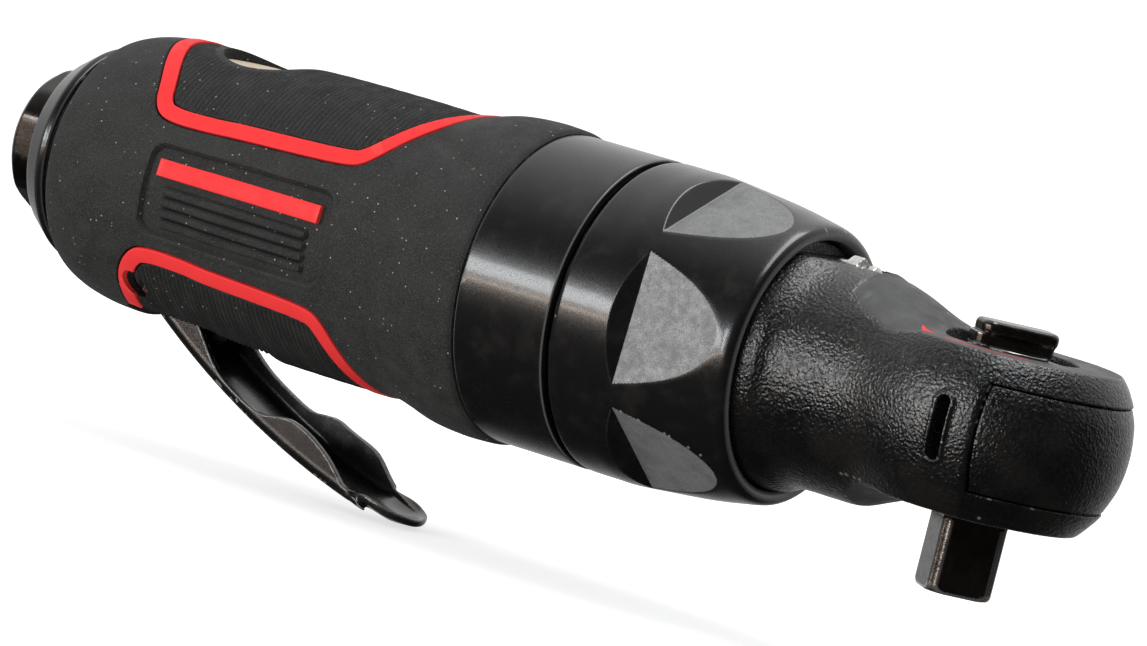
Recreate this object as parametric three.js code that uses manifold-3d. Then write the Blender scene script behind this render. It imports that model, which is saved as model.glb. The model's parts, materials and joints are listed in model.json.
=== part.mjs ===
// Air ratchet, 3/8 inch square drive, as an assembly of named meshes.
// Units are millimetres and +Z is up. The tool lies along X with its head towards +X.
// Everything is modelled with x = 0 on the drive axis and z = 0 on the tool's long axis,
// and the finished group is lifted so that the origin is the centre of the drive square's end face.
import * as THREE from "three";
import { mergeVertices } from "three/addons/utils/BufferGeometryUtils.js";
import Module from "manifold-3d";

const wasm = await Module();
wasm.setup();

// ---------------------------------------------------------------- driving dimensions
const GAP = 0.3; // running clearance between neighbouring pieces
const RIGHT_ANGLE = Math.PI / 2;
const FULL_TURN = 2 * Math.PI;
const BEYOND = 30; // half length of a cutter that passes right through the tool

const DRIVE_SQUARE = 9.525; // 3/8 inch across flats
const DRIVE_TIP_Z = -24.5;
const DRIVE_SHOULDER_Z = -13.3;
const DRIVE_TURN = degrees(44); // rest angle of the square about Z

const HEAD_RADIUS = 19.9; // barrel of the ratchet head, about the drive axis
const HEAD_TOP_Z = 11;
const HEAD_BOTTOM_Z = -12.5;
const NECK_RADIUS = 16.6;
const FORK_TOP_Z = 7.1; // inner faces of the head's two ears
const FORK_BOTTOM_Z = -8.5;
const FORK_EDGE_X = 7.1; // the side walls stop here and the yoke shows
const CHAMBER_RADIUS = 15.6;
const ANVIL_RADIUS = 9.4;
const ANVIL_JOURNAL_RADIUS = 8.1;

const GREASE_Z = 15;
const GREASE_LEDGE_Z = 16.3; // flat on top of the neck, round the grease fitting
const CRANK_THROW = 1.8;
const CRANK_REACH = 18; // from the drive axis to the middle of the crank roller
const YOKE_SWING = Math.asin(CRANK_THROW / CRANK_REACH);

const COLLAR_REAR_X = -60.8;
const COLLAR_FRONT_X = -32.1;
const COLLAR_BORE = 19.3;
const RING_REAR_X = -77.4;
const RING_FRONT_X = -61.8;
const RING_RADIUS = 23.3;
const BODY_RADIUS = 19.2; // motor housing under the boot
const BODY_REAR_X = -163.2;
const MOTOR_BORE = 16.2;
const MOTOR_REAR_X = -119;
const SPIGOT_FRONT_X = -48;
const BOOT_REAR_X = -157.7;
const BOOT_FRONT_X = -77.7;

const SUN_TEETH = 9;
const PLANET_TEETH = 12;
const RING_TEETH = SUN_TEETH + 2 * PLANET_TEETH;
const GEAR_MODULE = 0.8;
const TOOTH_FILL = 0.64; // share of the pitch that a tooth takes at its root
const PLANET_ORBIT = (GEAR_MODULE * (SUN_TEETH + PLANET_TEETH)) / 2;
const PLANET_COUNT = 3;
const YOKE_TEETH = 24;
const VANE_COUNT = 5;

const LEVER_PIN = { x: -139.5, z: -15.8 };
const LEVER_HALF_WIDTH = 6.5;
const LEVER_SHEET = 1.2;
const VALVE_X = LEVER_PIN.x + 7;
const VALVE_BORE = 4.6;
const INLET_REAR_X = -171;

// ---------------------------------------------------------------- materials
const finish = (color, roughness, metalness) =>
  new THREE.MeshStandardMaterial({ color, roughness, metalness });

const BLACK_WRINKLE = finish(0x17181a, 0.55, 0.3);
const BLACK_GLOSS = finish(0x0d0d0e, 0.22, 0.6);
const DARK_STEEL = finish(0x1b1917, 0.3, 0.9);
const BRIGHT_STEEL = finish(0xb8bcc0, 0.25, 1);
const BEARING_STEEL = finish(0x9aa0a6, 0.3, 1);
const RUBBER = finish(0x232524, 0.85, 0);
const RED_RUBBER = finish(0xd3262b, 0.6, 0);
const SEAL_RUBBER = finish(0x141414, 0.7, 0);
const TAN_PLATE = finish(0xcbb393, 0.5, 0.2);
const VANE_FIBRE = finish(0x5a3b24, 0.7, 0);
const FELT = finish(0x6f6b63, 0.95, 0);
const BRONZE = finish(0xa5793f, 0.35, 0.9);

// ---------------------------------------------------------------- solids
function degrees(value) {
  return (value * Math.PI) / 180;
}

// A closed geometry as a manifold solid, with its faces turned outwards.
function solidOf(geometry) {
  const bare = geometry.clone();
  bare.deleteAttribute("normal");
  bare.deleteAttribute("uv");
  const merged = mergeVertices(bare, 1e-4);
  const corners = Array.from(merged.index.array);
  const kept = [];
  for (let i = 0; i < corners.length; i += 3) {
    const [a, b, c] = corners.slice(i, i + 3);
    if (a !== b && b !== c && c !== a) kept.push(a, b, c);
  }
  const build = (triVerts) =>
    new wasm.Manifold(
      new wasm.Mesh({
        numProp: 3,
        vertProperties: new Float32Array(merged.attributes.position.array),
        triVerts: new Uint32Array(triVerts),
      }),
    );
  const made = build(kept);
  return made.volume() < 0 ? build(kept.reverse()) : made;
}

function geometryOf(solid) {
  const mesh = solid.getMesh();
  const geometry = new THREE.BufferGeometry();
  geometry.setAttribute("position", new THREE.BufferAttribute(mesh.vertProperties, 3));
  geometry.setIndex(new THREE.BufferAttribute(mesh.triVerts, 1));
  const flat = geometry.toNonIndexed();
  flat.computeVertexNormals();
  return flat;
}

const cut = (solid, ...tools) => tools.reduce((left, tool) => left.subtract(tool), solid);
const join = (first, ...others) => others.reduce((sum, next) => sum.add(next), first);

// Turned parts: the profile is a list of [along the axis, radius].
function lathe(profile, segments) {
  const points = profile.map(([along, radius]) => new THREE.Vector2(radius, along));
  return new THREE.LatheGeometry(points, segments);
}

function turnedX(profile, segments = 24) {
  return solidOf(lathe(profile, segments).rotateZ(-RIGHT_ANGLE));
}

function turnedZ(profile, segments = 24) {
  return solidOf(lathe(profile, segments).rotateX(RIGHT_ANGLE));
}

function closed(profile) {
  return [...profile, profile[0]];
}

// Cylinders and rings along X, Y and Z, given by their two ends.
function rodX(radius, from, to, y = 0, z = 0, sides = 20) {
  const rod = new THREE.CylinderGeometry(radius, radius, to - from, sides);
  return solidOf(rod.rotateZ(-RIGHT_ANGLE).translate((from + to) / 2, y, z));
}

function rodY(radius, from, to, x, z, sides = 16) {
  const rod = new THREE.CylinderGeometry(radius, radius, to - from, sides);
  return solidOf(rod.translate(x, (from + to) / 2, z));
}

function rodZ(radius, from, to, x = 0, y = 0, sides = 20) {
  const rod = new THREE.CylinderGeometry(radius, radius, to - from, sides);
  return solidOf(rod.rotateX(RIGHT_ANGLE).translate(x, y, (from + to) / 2));
}

function ringX(inner, outer, from, to, segments = 24) {
  return turnedX(closed([[from, inner], [to, inner], [to, outer], [from, outer]]), segments);
}

function ringZ(inner, outer, from, to, segments = 24) {
  return turnedZ(closed([[from, inner], [to, inner], [to, outer], [from, outer]]), segments);
}

function block(x, y, z) {
  const size = [x[1] - x[0], y[1] - y[0], z[1] - z[0]];
  const middle = [(x[0] + x[1]) / 2, (y[0] + y[1]) / 2, (z[0] + z[1]) / 2];
  return solidOf(new THREE.BoxGeometry(...size).translate(...middle));
}

// A flat outline in x and y, extruded along Z.
function prismZ(outline, from, to) {
  const shape = new THREE.Shape(outline.map(([x, y]) => new THREE.Vector2(x, y)));
  const geometry = new THREE.ExtrudeGeometry(shape, { depth: to - from, bevelEnabled: false });
  return solidOf(geometry.translate(0, 0, from));
}

// A flat outline in x and z, extruded along Y.
function prismY(outline, from, to) {
  const shape = new THREE.Shape(outline.map(([x, z]) => new THREE.Vector2(x, z)));
  const geometry = new THREE.ExtrudeGeometry(shape, { depth: to - from, bevelEnabled: false });
  return solidOf(geometry.rotateX(RIGHT_ANGLE).translate(0, to, 0));
}

// A flat outline in y and z, extruded along X.
function prismX(outline, from, to) {
  const shape = new THREE.Shape(outline.map(([y, z]) => new THREE.Vector2(y, z)));
  const geometry = new THREE.ExtrudeGeometry(shape, { depth: to - from, bevelEnabled: false });
  return solidOf(geometry.rotateX(RIGHT_ANGLE).rotateZ(RIGHT_ANGLE).translate(from, 0, 0));
}

// A closed skin through equal rings of points, capped by a fan from each end ring's first point.
function skin(rings) {
  const around = rings[0].length;
  const end = (rings.length - 1) * around;
  const index = [];
  for (let i = 0; i < end; i += around) {
    for (let j = 0; j < around; j++) {
      const next = (j + 1) % around;
      const [a, b, c, d] = [i + j, i + next, i + around + j, i + around + next];
      index.push(a, b, d, a, d, c);
    }
  }
  for (let j = 1; j < around - 1; j++) {
    index.push(0, j + 1, j);
    index.push(end, end + j, end + j + 1);
  }
  const geometry = new THREE.BufferGeometry();
  geometry.setAttribute("position", new THREE.Float32BufferAttribute(rings.flat(2), 3));
  geometry.setIndex(index);
  return solidOf(geometry);
}

function interpolate(table, x) {
  if (x <= table[0][0]) return table[0][1];
  for (let i = 1; i < table.length; i++) {
    const [x0, y0] = table[i - 1];
    const [x1, y1] = table[i];
    if (x <= x1) return y0 + ((y1 - y0) * (x - x0)) / (x1 - x0);
  }
  return table[table.length - 1][1];
}

function moved(solid, x, y, z) {
  return solid.translate([x, y, z]);
}

function spunZ(solid, angle) {
  return solid.rotate([0, 0, THREE.MathUtils.radToDeg(angle)]);
}

function spunX(solid, angle) {
  return solid.rotate([THREE.MathUtils.radToDeg(angle), 0, 0]);
}

const tool = new THREE.Group();

function add(name, solid, material) {
  const mesh = new THREE.Mesh(geometryOf(solid), material);
  mesh.name = name;
  tool.add(mesh);
}

// ---------------------------------------------------------------- ratchet head
// Floor of the scoop that runs from the round neck down to the head's flat face:
// its height on the centre line, and how strongly it is crowned across.
const SCOOP_FLOOR = [
  [-23, 6.4], [-21.8, 5.2], [-19.9, 4.9], [-17.3, 4.05], [-14.8, 2.95],
  [-12.3, 1.85], [-9.7, 0.75], [-7, 0],
];
const SCOOP_CROWN = [
  [-23, 0.024], [-21.8, 0.029], [-19.2, 0.0288], [-17, 0.0255], [-13.3, 0.018], [-9.7, 0.0068], [-7, 0],
];

// side is +1 for the top and -1 for the underside; face is the flat's distance from the axis.
function scoopCutter(side, face) {
  const stations = [...SCOOP_FLOOR.map(([x]) => x), 26];
  const widths = [-24, -14, -9, -4.5, 0, 4.5, 9, 14, 24];
  const rings = stations.map((x) => {
    const rise = interpolate(SCOOP_FLOOR, x);
    const crown = interpolate(SCOOP_CROWN, x);
    const floor = widths.map((y) => [x, y, side * (face + rise - crown * y * y)]);
    const far = side * 32;
    return [[x, 0, far], [x, -24, far], ...floor, [x, 24, far]];
  });
  return skin(rings);
}

function headBarrel() {
  const lower = [[-13.2, 0], [-13.2, 14], [-11.6, 15.7], [-9, 17.6], [-6.2, 18.9]];
  const upper = [[6.2, 18.9], [9, 17.5], [10.6, 16.3], [12, 14.6], [12, 0]];
  return turnedZ([...lower, [-3, 19.7], [0, HEAD_RADIUS], [3, 19.7], ...upper], 30);
}

function neckBody() {
  const spigot = [[-59.8, 0], [-59.8, 15.9], [-55, 15.9], [-55, 14.7], [-53, 14.7], [-53, 15.9]];
  const flange = [[-47.7, 15.9], [-47.7, 18.9], [-36.5, 18.9], [-36.5, 18.2], [-32, 18.2]];
  const cove = [[-29.8, 17.8], [-28.3, 17], [-26.3, NECK_RADIUS], [-2, NECK_RADIUS], [-2, 0]];
  return turnedX([...spigot, ...flange, ...cove], 26);
}

function sideSlot() {
  const middle = { x: 2.2, z: -0.65 };
  const half = { x: 1.35, z: 3.5 };
  const across = [-BEYOND, BEYOND];
  const slab = block(
    [middle.x - half.x, middle.x + half.x], across, [middle.z - half.z, middle.z + half.z],
  );
  const upper = rodY(half.x, ...across, middle.x, middle.z + half.z, 10);
  const lower = rodY(half.x, ...across, middle.x, middle.z - half.z, 10);
  return join(slab, upper, lower);
}

function ratchetHousing() {
  const outside = join(headBarrel(), neckBody());
  const scooped = cut(
    outside, scoopCutter(1, HEAD_TOP_Z), scoopCutter(-1, -HEAD_BOTTOM_Z),
  );
  const fork = [FORK_BOTTOM_Z, FORK_TOP_Z];
  return cut(
    scooped,
    rodZ(CHAMBER_RADIUS, ...fork, 0, 0, 28),
    block([FORK_EDGE_X, BEYOND], [-BEYOND, BEYOND], fork),
    block([-24.5, 0], [-11.7, 11.7], fork),
    rodZ(ANVIL_RADIUS + GAP, FORK_TOP_Z - 1, HEAD_TOP_Z + 1, 0, 0, 24),
    rodZ(ANVIL_JOURNAL_RADIUS + GAP, HEAD_BOTTOM_Z - 1, FORK_BOTTOM_Z + 1, 0, 0, 20),
    rodX(8.3, -46, -24, 0, 0, 18),
    rodX(11.4, -60.5, -45.5, 0, 0, 20),
    sideSlot(),
    rodX(1.9, -31, -25.5, 0, GREASE_Z, 10),
    rodX(3, -28.9, -22.4, 0, GREASE_Z, 12),
    block([-34, -24.9], [-BEYOND, BEYOND], [GREASE_LEDGE_Z, BEYOND]),
  );
}

// ---------------------------------------------------------------- yoke, anvil, pawl and selector
function toothedOutline(teeth, root, tip, fill, turn = 0) {
  const pitch = FULL_TURN / teeth;
  const outline = [];
  for (let i = 0; i < teeth; i++) {
    const middle = turn + i * pitch;
    const points = [[-0.5 * fill, root], [-0.2 * fill, tip], [0.2 * fill, tip], [0.5 * fill, root]];
    for (const [share, radius] of points) {
      const angle = middle + share * pitch;
      outline.push([radius * Math.cos(angle), radius * Math.sin(angle)]);
    }
  }
  return outline;
}

function yoke() {
  const height = [FORK_BOTTOM_Z + GAP, FORK_TOP_Z - GAP];
  const ring = rodZ(CHAMBER_RADIUS - 0.5, ...height, 0, 0, 28);
  const lobe = turnedZ(
    [[height[0], 0], [height[0], 17.8], [-4.4, 19.2], [0, 19.7], [4.4, 19.2],
      [height[1], 18.4], [height[1], 0]], 36,
  );
  const front = block([FORK_EDGE_X + 0.35, BEYOND], [-BEYOND, BEYOND], [-BEYOND, BEYOND]);
  const lobeAtRest = lobe.intersect(front);
  const lobeAtLimit = spunZ(lobe.intersect(front), -2 * YOKE_SWING);
  const slotHalf = 6.7;
  const arms = spunZ(block([-21.2, -6], [-9.1, 9.1], height), -YOKE_SWING);
  const slot = spunZ(block([-BEYOND, -13.4], [-slotHalf, slotHalf], [-BEYOND, BEYOND]), -YOKE_SWING);
  const bore = prismZ(toothedOutline(YOKE_TEETH, 11, 9.9, 0.9), -BEYOND, BEYOND);
  const teeth = spunZ(bore, -YOKE_SWING);
  const body = join(ring, arms, lobeAtRest.intersect(lobeAtLimit));
  const clear = block([-BEYOND, BEYOND], [-BEYOND, BEYOND], height);
  return cut(body, slot, teeth).intersect(clear);
}

function drivePrism() {
  const half = DRIVE_SQUARE / 2;
  const corner = 0.9;
  const side = half - corner;
  const outline = [
    [half, -side], [half, side], [side, half], [-side, half],
    [-half, side], [-half, -side], [-side, -half], [side, -half],
  ];
  const lead = turnedZ(
    [[DRIVE_TIP_Z, 0], [DRIVE_TIP_Z, 5.6], [DRIVE_TIP_Z + 1, 6.6], [0, 6.6], [0, 0]], 24,
  );
  return prismZ(outline, DRIVE_TIP_Z, -10).intersect(lead);
}

// The ball that holds a socket sits in the flat that faces backwards and away from the -Y side.
const SOCKET_BALL_TURN = DRIVE_TURN - RIGHT_ANGLE;
const SOCKET_BALL_Z = DRIVE_TIP_Z + 6;
const PAWL_PIN_X = 5.9;

function driveAnvil() {
  const body = turnedZ([
    [DRIVE_SHOULDER_Z, 0], [DRIVE_SHOULDER_Z, ANVIL_JOURNAL_RADIUS - 0.5],
    [DRIVE_SHOULDER_Z + 0.5, ANVIL_JOURNAL_RADIUS], [FORK_BOTTOM_Z + GAP, ANVIL_JOURNAL_RADIUS],
    [FORK_BOTTOM_Z + GAP, ANVIL_RADIUS], [8, ANVIL_RADIUS], [8, 5.3], [9.8, 5.3], [9.8, 0],
  ], 24);
  const ballSeat = spunZ(rodX(1.9, -8, -1.2, 0, SOCKET_BALL_Z, 12), SOCKET_BALL_TURN);
  return cut(
    join(body, spunZ(drivePrism(), DRIVE_TURN)),
    block([3.3, 12], [-8.6, 8.6], [-7, 5]),
    rodZ(3.5, -7, 12, 0, 0, 20),
    rodZ(1.8, -7.8, 7.2, PAWL_PIN_X, 0, 14),
    ballSeat,
  );
}

const PAWL_TILT = degrees(6);

function pawl() {
  const outline = [
    [4.05, -3], [5.4, -4.7], [7.1, -5.8], [7.5, -5.2], [7.4, -3.2], [8.2, 0],
    [7.4, 3.2], [7.5, 5.2], [7.1, 5.8], [5.4, 4.7], [4.05, 3],
  ];
  const plate = prismZ(outline, -6.7, 4.7);
  const bored = cut(plate, rodZ(1.75, -8, 8, PAWL_PIN_X, 0, 14));
  const centred = moved(bored, -PAWL_PIN_X, 0, 0);
  return moved(spunZ(centred, PAWL_TILT), PAWL_PIN_X, 0, 0);
}

const KNOB_TURN = degrees(47);

function roundedBar(length, width, corner, from, to) {
  const outline = [];
  const centres = [[1, 1], [-1, 1], [-1, -1], [1, -1]];
  centres.forEach(([sx, sy], quarter) => {
    for (let step = 0; step <= 3; step++) {
      const angle = quarter * RIGHT_ANGLE + (step * RIGHT_ANGLE) / 3;
      outline.push([
        sx * (length / 2 - corner) + corner * Math.cos(angle),
        sy * (width / 2 - corner) + corner * Math.sin(angle),
      ]);
    }
  });
  return prismZ(outline, from, to);
}

function reverseKnob() {
  const upper = roundedBar(11.6, 6.2, 1.8, 12.4, 14.5);
  const lower = moved(roundedBar(12, 5.4, 1.5, 10.8, 12.5), -0.5, 0, 0);
  const disc = rodZ(5.2, 10.15, 11, 0, 0, 24);
  const stem = rodZ(3.2, -6.6, 10.4, 0, 0, 20);
  const pocket = spunZ(rodX(1.35, -2.5, 5, 0, -1, 12), -RIGHT_ANGLE / 2);
  return cut(join(spunZ(join(upper, lower), KNOB_TURN), disc, stem), pocket);
}

// A coil spring along X from 0 to length, with its wire's radius and its own outer radius.
function coil(length, outer, wire, turns, steps = 9) {
  class Helix extends THREE.Curve {
    getPoint(t, target = new THREE.Vector3()) {
      const angle = t * turns * FULL_TURN;
      const radius = outer - wire;
      return target.set(
        wire + t * (length - 2 * wire), radius * Math.cos(angle), radius * Math.sin(angle),
      );
    }
  }
  const section = new THREE.Shape();
  const sides = 5;
  for (let i = 0; i < sides; i++) {
    const angle = (i * FULL_TURN) / sides;
    const point = [wire * Math.cos(angle), wire * Math.sin(angle)];
    if (i === 0) section.moveTo(...point);
    else section.lineTo(...point);
  }
  const path = new Helix();
  return solidOf(new THREE.ExtrudeGeometry(section, { steps: turns * steps, extrudePath: path }));
}

function addHead() {
  add("ratchet_housing", ratchetHousing(), BLACK_WRINKLE);
  add("yoke", yoke(), BLACK_WRINKLE);
  add("drive_anvil", driveAnvil(), DARK_STEEL);
  add("pawl", pawl(), BEARING_STEEL);
  add("pawl_pin", rodZ(1.5, -7.5, 6.9, PAWL_PIN_X, 0, 14), BEARING_STEEL);
  add("reverse_knob", reverseKnob(), DARK_STEEL);
  const plunger = turnedX([[1.1, 0], [1.1, 1.05], [2.8, 1.05], [3.2, 0.6], [3.3, 0]], 12);
  const selector = -RIGHT_ANGLE / 2;
  add("selector_plunger", spunZ(moved(plunger, 0, 0, -1), selector), BRIGHT_STEEL);
  const spring = moved(coil(3, 1, 0.18, 4, 6), -2.2, 0, -1);
  add("selector_spring", spunZ(spring, selector), BRIGHT_STEEL);
  add("thrust_washer", ringZ(5.6, ANVIL_RADIUS, 8.3, 9), BEARING_STEEL);
  const circlip = cut(
    ringZ(7.9, ANVIL_RADIUS, 9.3, 10.1, 32), block([4, 12], [-1.6, 1.6], [8, 12]),
  );
  add("retaining_ring", circlip, BRIGHT_STEEL);
  const ballPlace = new THREE.Vector3(-DRIVE_SQUARE / 2 + 1.2, 0, 0);
  ballPlace.applyAxisAngle(new THREE.Vector3(0, 0, 1), SOCKET_BALL_TURN);
  const ball = solidOf(new THREE.IcosahedronGeometry(1.6, 1));
  add("socket_ball", moved(ball, ballPlace.x, ballPlace.y, SOCKET_BALL_Z), BRIGHT_STEEL);
}

// ---------------------------------------------------------------- grease fitting
function addGreaseFitting() {
  const body = join(
    rodX(1.6, -30.6, -26, 0, 0, 8),
    rodX(1.2, -26.8, -25.4, 0, 0, 8),
    turnedX([[-25.8, 0], [-25.8, 1.2], [-25.2, 1.75], [-24.2, 1.75], [-23.6, 1.2], [-23.6, 0]], 10),
    solidOf(
      new THREE.CylinderGeometry(2.6, 2.6, 1.9, 6).rotateZ(-RIGHT_ANGLE).translate(-27.6, 0, 0),
    ),
  );
  add("grease_fitting", moved(body, 0, 0, GREASE_Z), BRIGHT_STEEL);
}

// ---------------------------------------------------------------- crank and reduction gear
function spurGear(teeth, bore, from, to, turn) {
  const pitchRadius = (teeth * GEAR_MODULE) / 2;
  const outline = toothedOutline(
    teeth, pitchRadius - 1.15 * GEAR_MODULE, pitchRadius + 0.75 * GEAR_MODULE, TOOTH_FILL, turn,
  );
  const blank = prismX(outline, from, to);
  return bore ? cut(blank, rodX(bore, from - 1, to + 1, 0, 0, 14)) : blank;
}

function ringGear() {
  const pitchRadius = (RING_TEETH * GEAR_MODULE) / 2;
  const root = pitchRadius + 1.15 * GEAR_MODULE;
  const tip = pitchRadius - 0.75 * GEAR_MODULE;
  const outline = toothedOutline(RING_TEETH, root, tip, TOOTH_FILL);
  const blank = rodX(MOTOR_BORE - GAP - 0.15, -80.2, -60.1, 0, 0, 33);
  return cut(blank, prismX(outline, -82, -58));
}

function crankshaft() {
  const carrier = rodX(11.4, -65.5, -60.6, 0, 0, 28);
  const shaft = rodX(6, -61, -26.5, 0, 0, 20);
  const pin = rodX(1.9, -27, -14.6, CRANK_THROW, 0, 14);
  const holes = [];
  for (let i = 0; i < PLANET_COUNT; i++) {
    const angle = (i * FULL_TURN) / PLANET_COUNT;
    const y = PLANET_ORBIT * Math.cos(angle);
    const z = PLANET_ORBIT * Math.sin(angle);
    holes.push(rodX(1.8, -66, -61.6, y, z, 12));
  }
  return cut(join(carrier, shaft, pin), ...holes);
}

// A ball bearing as one ring, with the groove between its races in its front face.
function bearing(inner, outer, from, to) {
  const third = (outer - inner) / 3;
  const depth = 0.5;
  const profile = [
    [from, inner], [to, inner], [to, inner + third], [to - depth, inner + third],
    [to - depth, outer - third], [to, outer - third], [to, outer], [from, outer],
  ];
  return turnedX(closed(profile), 18);
}

function addCrank() {
  add("crankshaft", crankshaft(), BEARING_STEEL);
  const barrel = [[-21.4, 2.2], [-15, 2.2], [-15, 2.6], [-16.5, 2.8], [-20, 2.8], [-21.4, 2.6]];
  add("crank_roller", moved(turnedX(closed(barrel), 18), 0, CRANK_THROW, 0), BEARING_STEEL);
  add("crank_bearing", bearing(6.3, 11, -59.2, -50), BEARING_STEEL);
  add("crank_bushing", ringX(6.3, 8, -44, -30), BRONZE);
  add("ring_gear", ringGear(), BEARING_STEEL);
  for (let i = 0; i < PLANET_COUNT; i++) {
    const angle = (i * FULL_TURN) / PLANET_COUNT;
    const y = PLANET_ORBIT * Math.cos(angle);
    const z = PLANET_ORBIT * Math.sin(angle);
    const gear = spurGear(PLANET_TEETH, 1.8, -78.6, -66.2, planetTurn(angle));
    add("planet_gear_" + (i + 1), moved(gear, 0, y, z), BEARING_STEEL);
    add("planet_pin_" + (i + 1), rodX(1.5, -79.4, -61.9, y, z, 12), BRIGHT_STEEL);
  }
  const seal = solidOf(
    new THREE.TorusGeometry(15.35, 0.42, 6, 20).rotateY(RIGHT_ANGLE).translate(-54, 0, 0),
  );
  add("head_o_ring", seal, SEAL_RUBBER);
}

// The turn of a planet that puts a tooth space where the ring gear has a tooth.
function planetTurn(orbitAngle) {
  const ringPitch = FULL_TURN / RING_TEETH;
  const planetPitch = FULL_TURN / PLANET_TEETH;
  const ahead = orbitAngle / ringPitch - Math.round(orbitAngle / ringPitch);
  return orbitAngle + planetPitch * (0.5 - ahead);
}

// ---------------------------------------------------------------- air motor
function rotor() {
  const body = rodX(11, -112.1, -86.5, 0, 0, 30);
  const shaft = join(rodX(3.4, -118.2, -111, 0, 0, 16), rodX(4.5, -87, -81.3, 0, 0, 18));
  const slots = [];
  for (let i = 0; i < VANE_COUNT; i++) {
    const slot = block([-114, -84], [-0.9, 0.9], [5.6, 13]);
    slots.push(spunX(slot, (i * FULL_TURN) / VANE_COUNT));
  }
  return join(cut(body, ...slots), shaft, spurGear(SUN_TEETH, 0, -82, -66.6, 0));
}

function motorCylinder() {
  const bore = rodX(12.5, -114, -84, 0, -1, 32);
  const sleeve = rodX(MOTOR_BORE - GAP, -112.5, -86.2, 0, 0, 32);
  const ports = [-106, -99.4, -92.8].map((x) => rodY(1.6, -20, 0, x, 6, 10));
  return cut(sleeve, bore, ...ports);
}

function endPlate(from, to, pocketFrom, pocketTo, pocket, hole) {
  const plate = rodX(MOTOR_BORE - GAP, from, to, 0, 0, 28);
  const port = rodX(1.6, from - 1, to + 1, 0, -10.4, 10);
  return cut(plate, rodX(pocket, pocketFrom, pocketTo, 0, 0, 24), rodX(hole, from - 1, to + 1), port);
}

function addMotor() {
  add("rear_end_plate", endPlate(-118.7, -112.8, -120, -114, 8.3, 4), BEARING_STEEL);
  add("rear_bearing", bearing(3.7, 8, -118.4, -114.3), BRIGHT_STEEL);
  add("motor_cylinder", motorCylinder(), BEARING_STEEL);
  add("rotor", rotor(), BEARING_STEEL);
  for (let i = 0; i < VANE_COUNT; i++) {
    const vane = block([-111.9, -86.7], [-0.6, 0.6], [6, 11.1]);
    add("rotor_vane_" + (i + 1), spunX(vane, (i * FULL_TURN) / VANE_COUNT), VANE_FIBRE);
  }
  add("front_end_plate", endPlate(-85.9, -80.5, -84.7, -79, 9.3, 5.2), BEARING_STEEL);
  add("front_bearing", bearing(4.8, 9, -84.4, -80.9), BRIGHT_STEEL);
}

// ---------------------------------------------------------------- housing, collar and rear end
// Both side holes of the lever's pin, right through the tool.
function pinHoles(radius) {
  return rodY(radius, -BEYOND, BEYOND, LEVER_PIN.x, LEVER_PIN.z, 14);
}

function motorHousing() {
  const outside = turnedX([
    [BODY_REAR_X, 0], [BODY_REAR_X, 12.5], [-159, 12.5], [-159, 15.6], [-155.2, 15.6],
    [-155.2, BODY_RADIUS], [RING_REAR_X, BODY_RADIUS], [RING_REAR_X, 22.9], [-76.9, RING_RADIUS],
    [-62.2, RING_RADIUS], [RING_FRONT_X, 22.9], [RING_FRONT_X, 19], [SPIGOT_FRONT_X, 19],
    [SPIGOT_FRONT_X, 0],
  ], 28);
  const exhausts = [];
  for (const angle of [35, 145, 215, 325]) {
    const radius = 13.6;
    const y = radius * Math.cos(degrees(angle));
    const z = radius * Math.sin(degrees(angle));
    exhausts.push(rodX(1.5, -165, MOTOR_REAR_X + 1, y, z, 10));
  }
  return cut(
    outside,
    rodX(MOTOR_BORE, MOTOR_REAR_X, -40, 0, 0, 28),
    rodX(7.2, -170, -150.2, 0, 0, 20),
    rodX(3.2, -151, VALVE_X, 0, 3.5, 14),
    rodZ(VALVE_BORE, -14, 14.2, VALVE_X, 0, 20),
    rodX(1.7, VALVE_X, MOTOR_REAR_X + 1, 0, -3.5, 12),
    block([-146, -121], [-7.4, 7.4], [-26, -12.3]),
    pinHoles(1.8),
    ...exhausts,
  );
}

const SCALLOPS = 6;
const SCALLOP_TURN = degrees(4.5); // the first scallop is centred this far above the -Y side

function clampCollar() {
  const body = turnedX(closed([
    [COLLAR_REAR_X, COLLAR_BORE], [-36.2, COLLAR_BORE], [-36.2, 18.5], [COLLAR_FRONT_X - 0.6, 18.5],
    [COLLAR_FRONT_X, 19.2], [COLLAR_FRONT_X, 20], [-33, 20.7], [-35.7, 21.3], [-42.1, 22.3],
    [-52.7, RING_RADIUS], [-60.4, RING_RADIUS], [COLLAR_REAR_X, 22.9],
  ]), 30);
  const cutters = [];
  for (let i = 0; i < SCALLOPS; i++) {
    const wedge = prismY(
      [[-52, 23.6], [-49.6, 20.75], [-34, 21.1], [-34, 27], [-52, 27]], -14, 14,
    );
    cutters.push(spunX(wedge, RIGHT_ANGLE - SCALLOP_TURN + (i * FULL_TURN) / SCALLOPS));
  }
  return cut(body, ...cutters);
}

function hexPrismX(acrossFlats, from, to) {
  const corner = acrossFlats / Math.sqrt(3);
  const prism = new THREE.CylinderGeometry(corner, corner, to - from, 6);
  return solidOf(prism.rotateZ(-RIGHT_ANGLE).translate((from + to) / 2, 0, 0));
}

function airInlet() {
  const outside = turnedX([
    [INLET_REAR_X, 0], [INLET_REAR_X, 9.7], [-169.6, 11.2], [-165.5, 11.2], [-164.9, 10.6],
    [-164.9, 6.9], [-150.6, 6.9], [-150.6, 0],
  ], 24);
  const flats = join(hexPrismX(21.3, -172, -164.9), rodX(7.5, -165.5, -150, 0, 0, 24));
  const bore = turnedX([
    [-172, 0], [-172, 6.6], [-171, 6.5], [-157.6, 5.5], [-157.3, 4], [-150, 4], [-150, 0],
  ]);
  return cut(outside.intersect(flats), bore);
}

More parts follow.
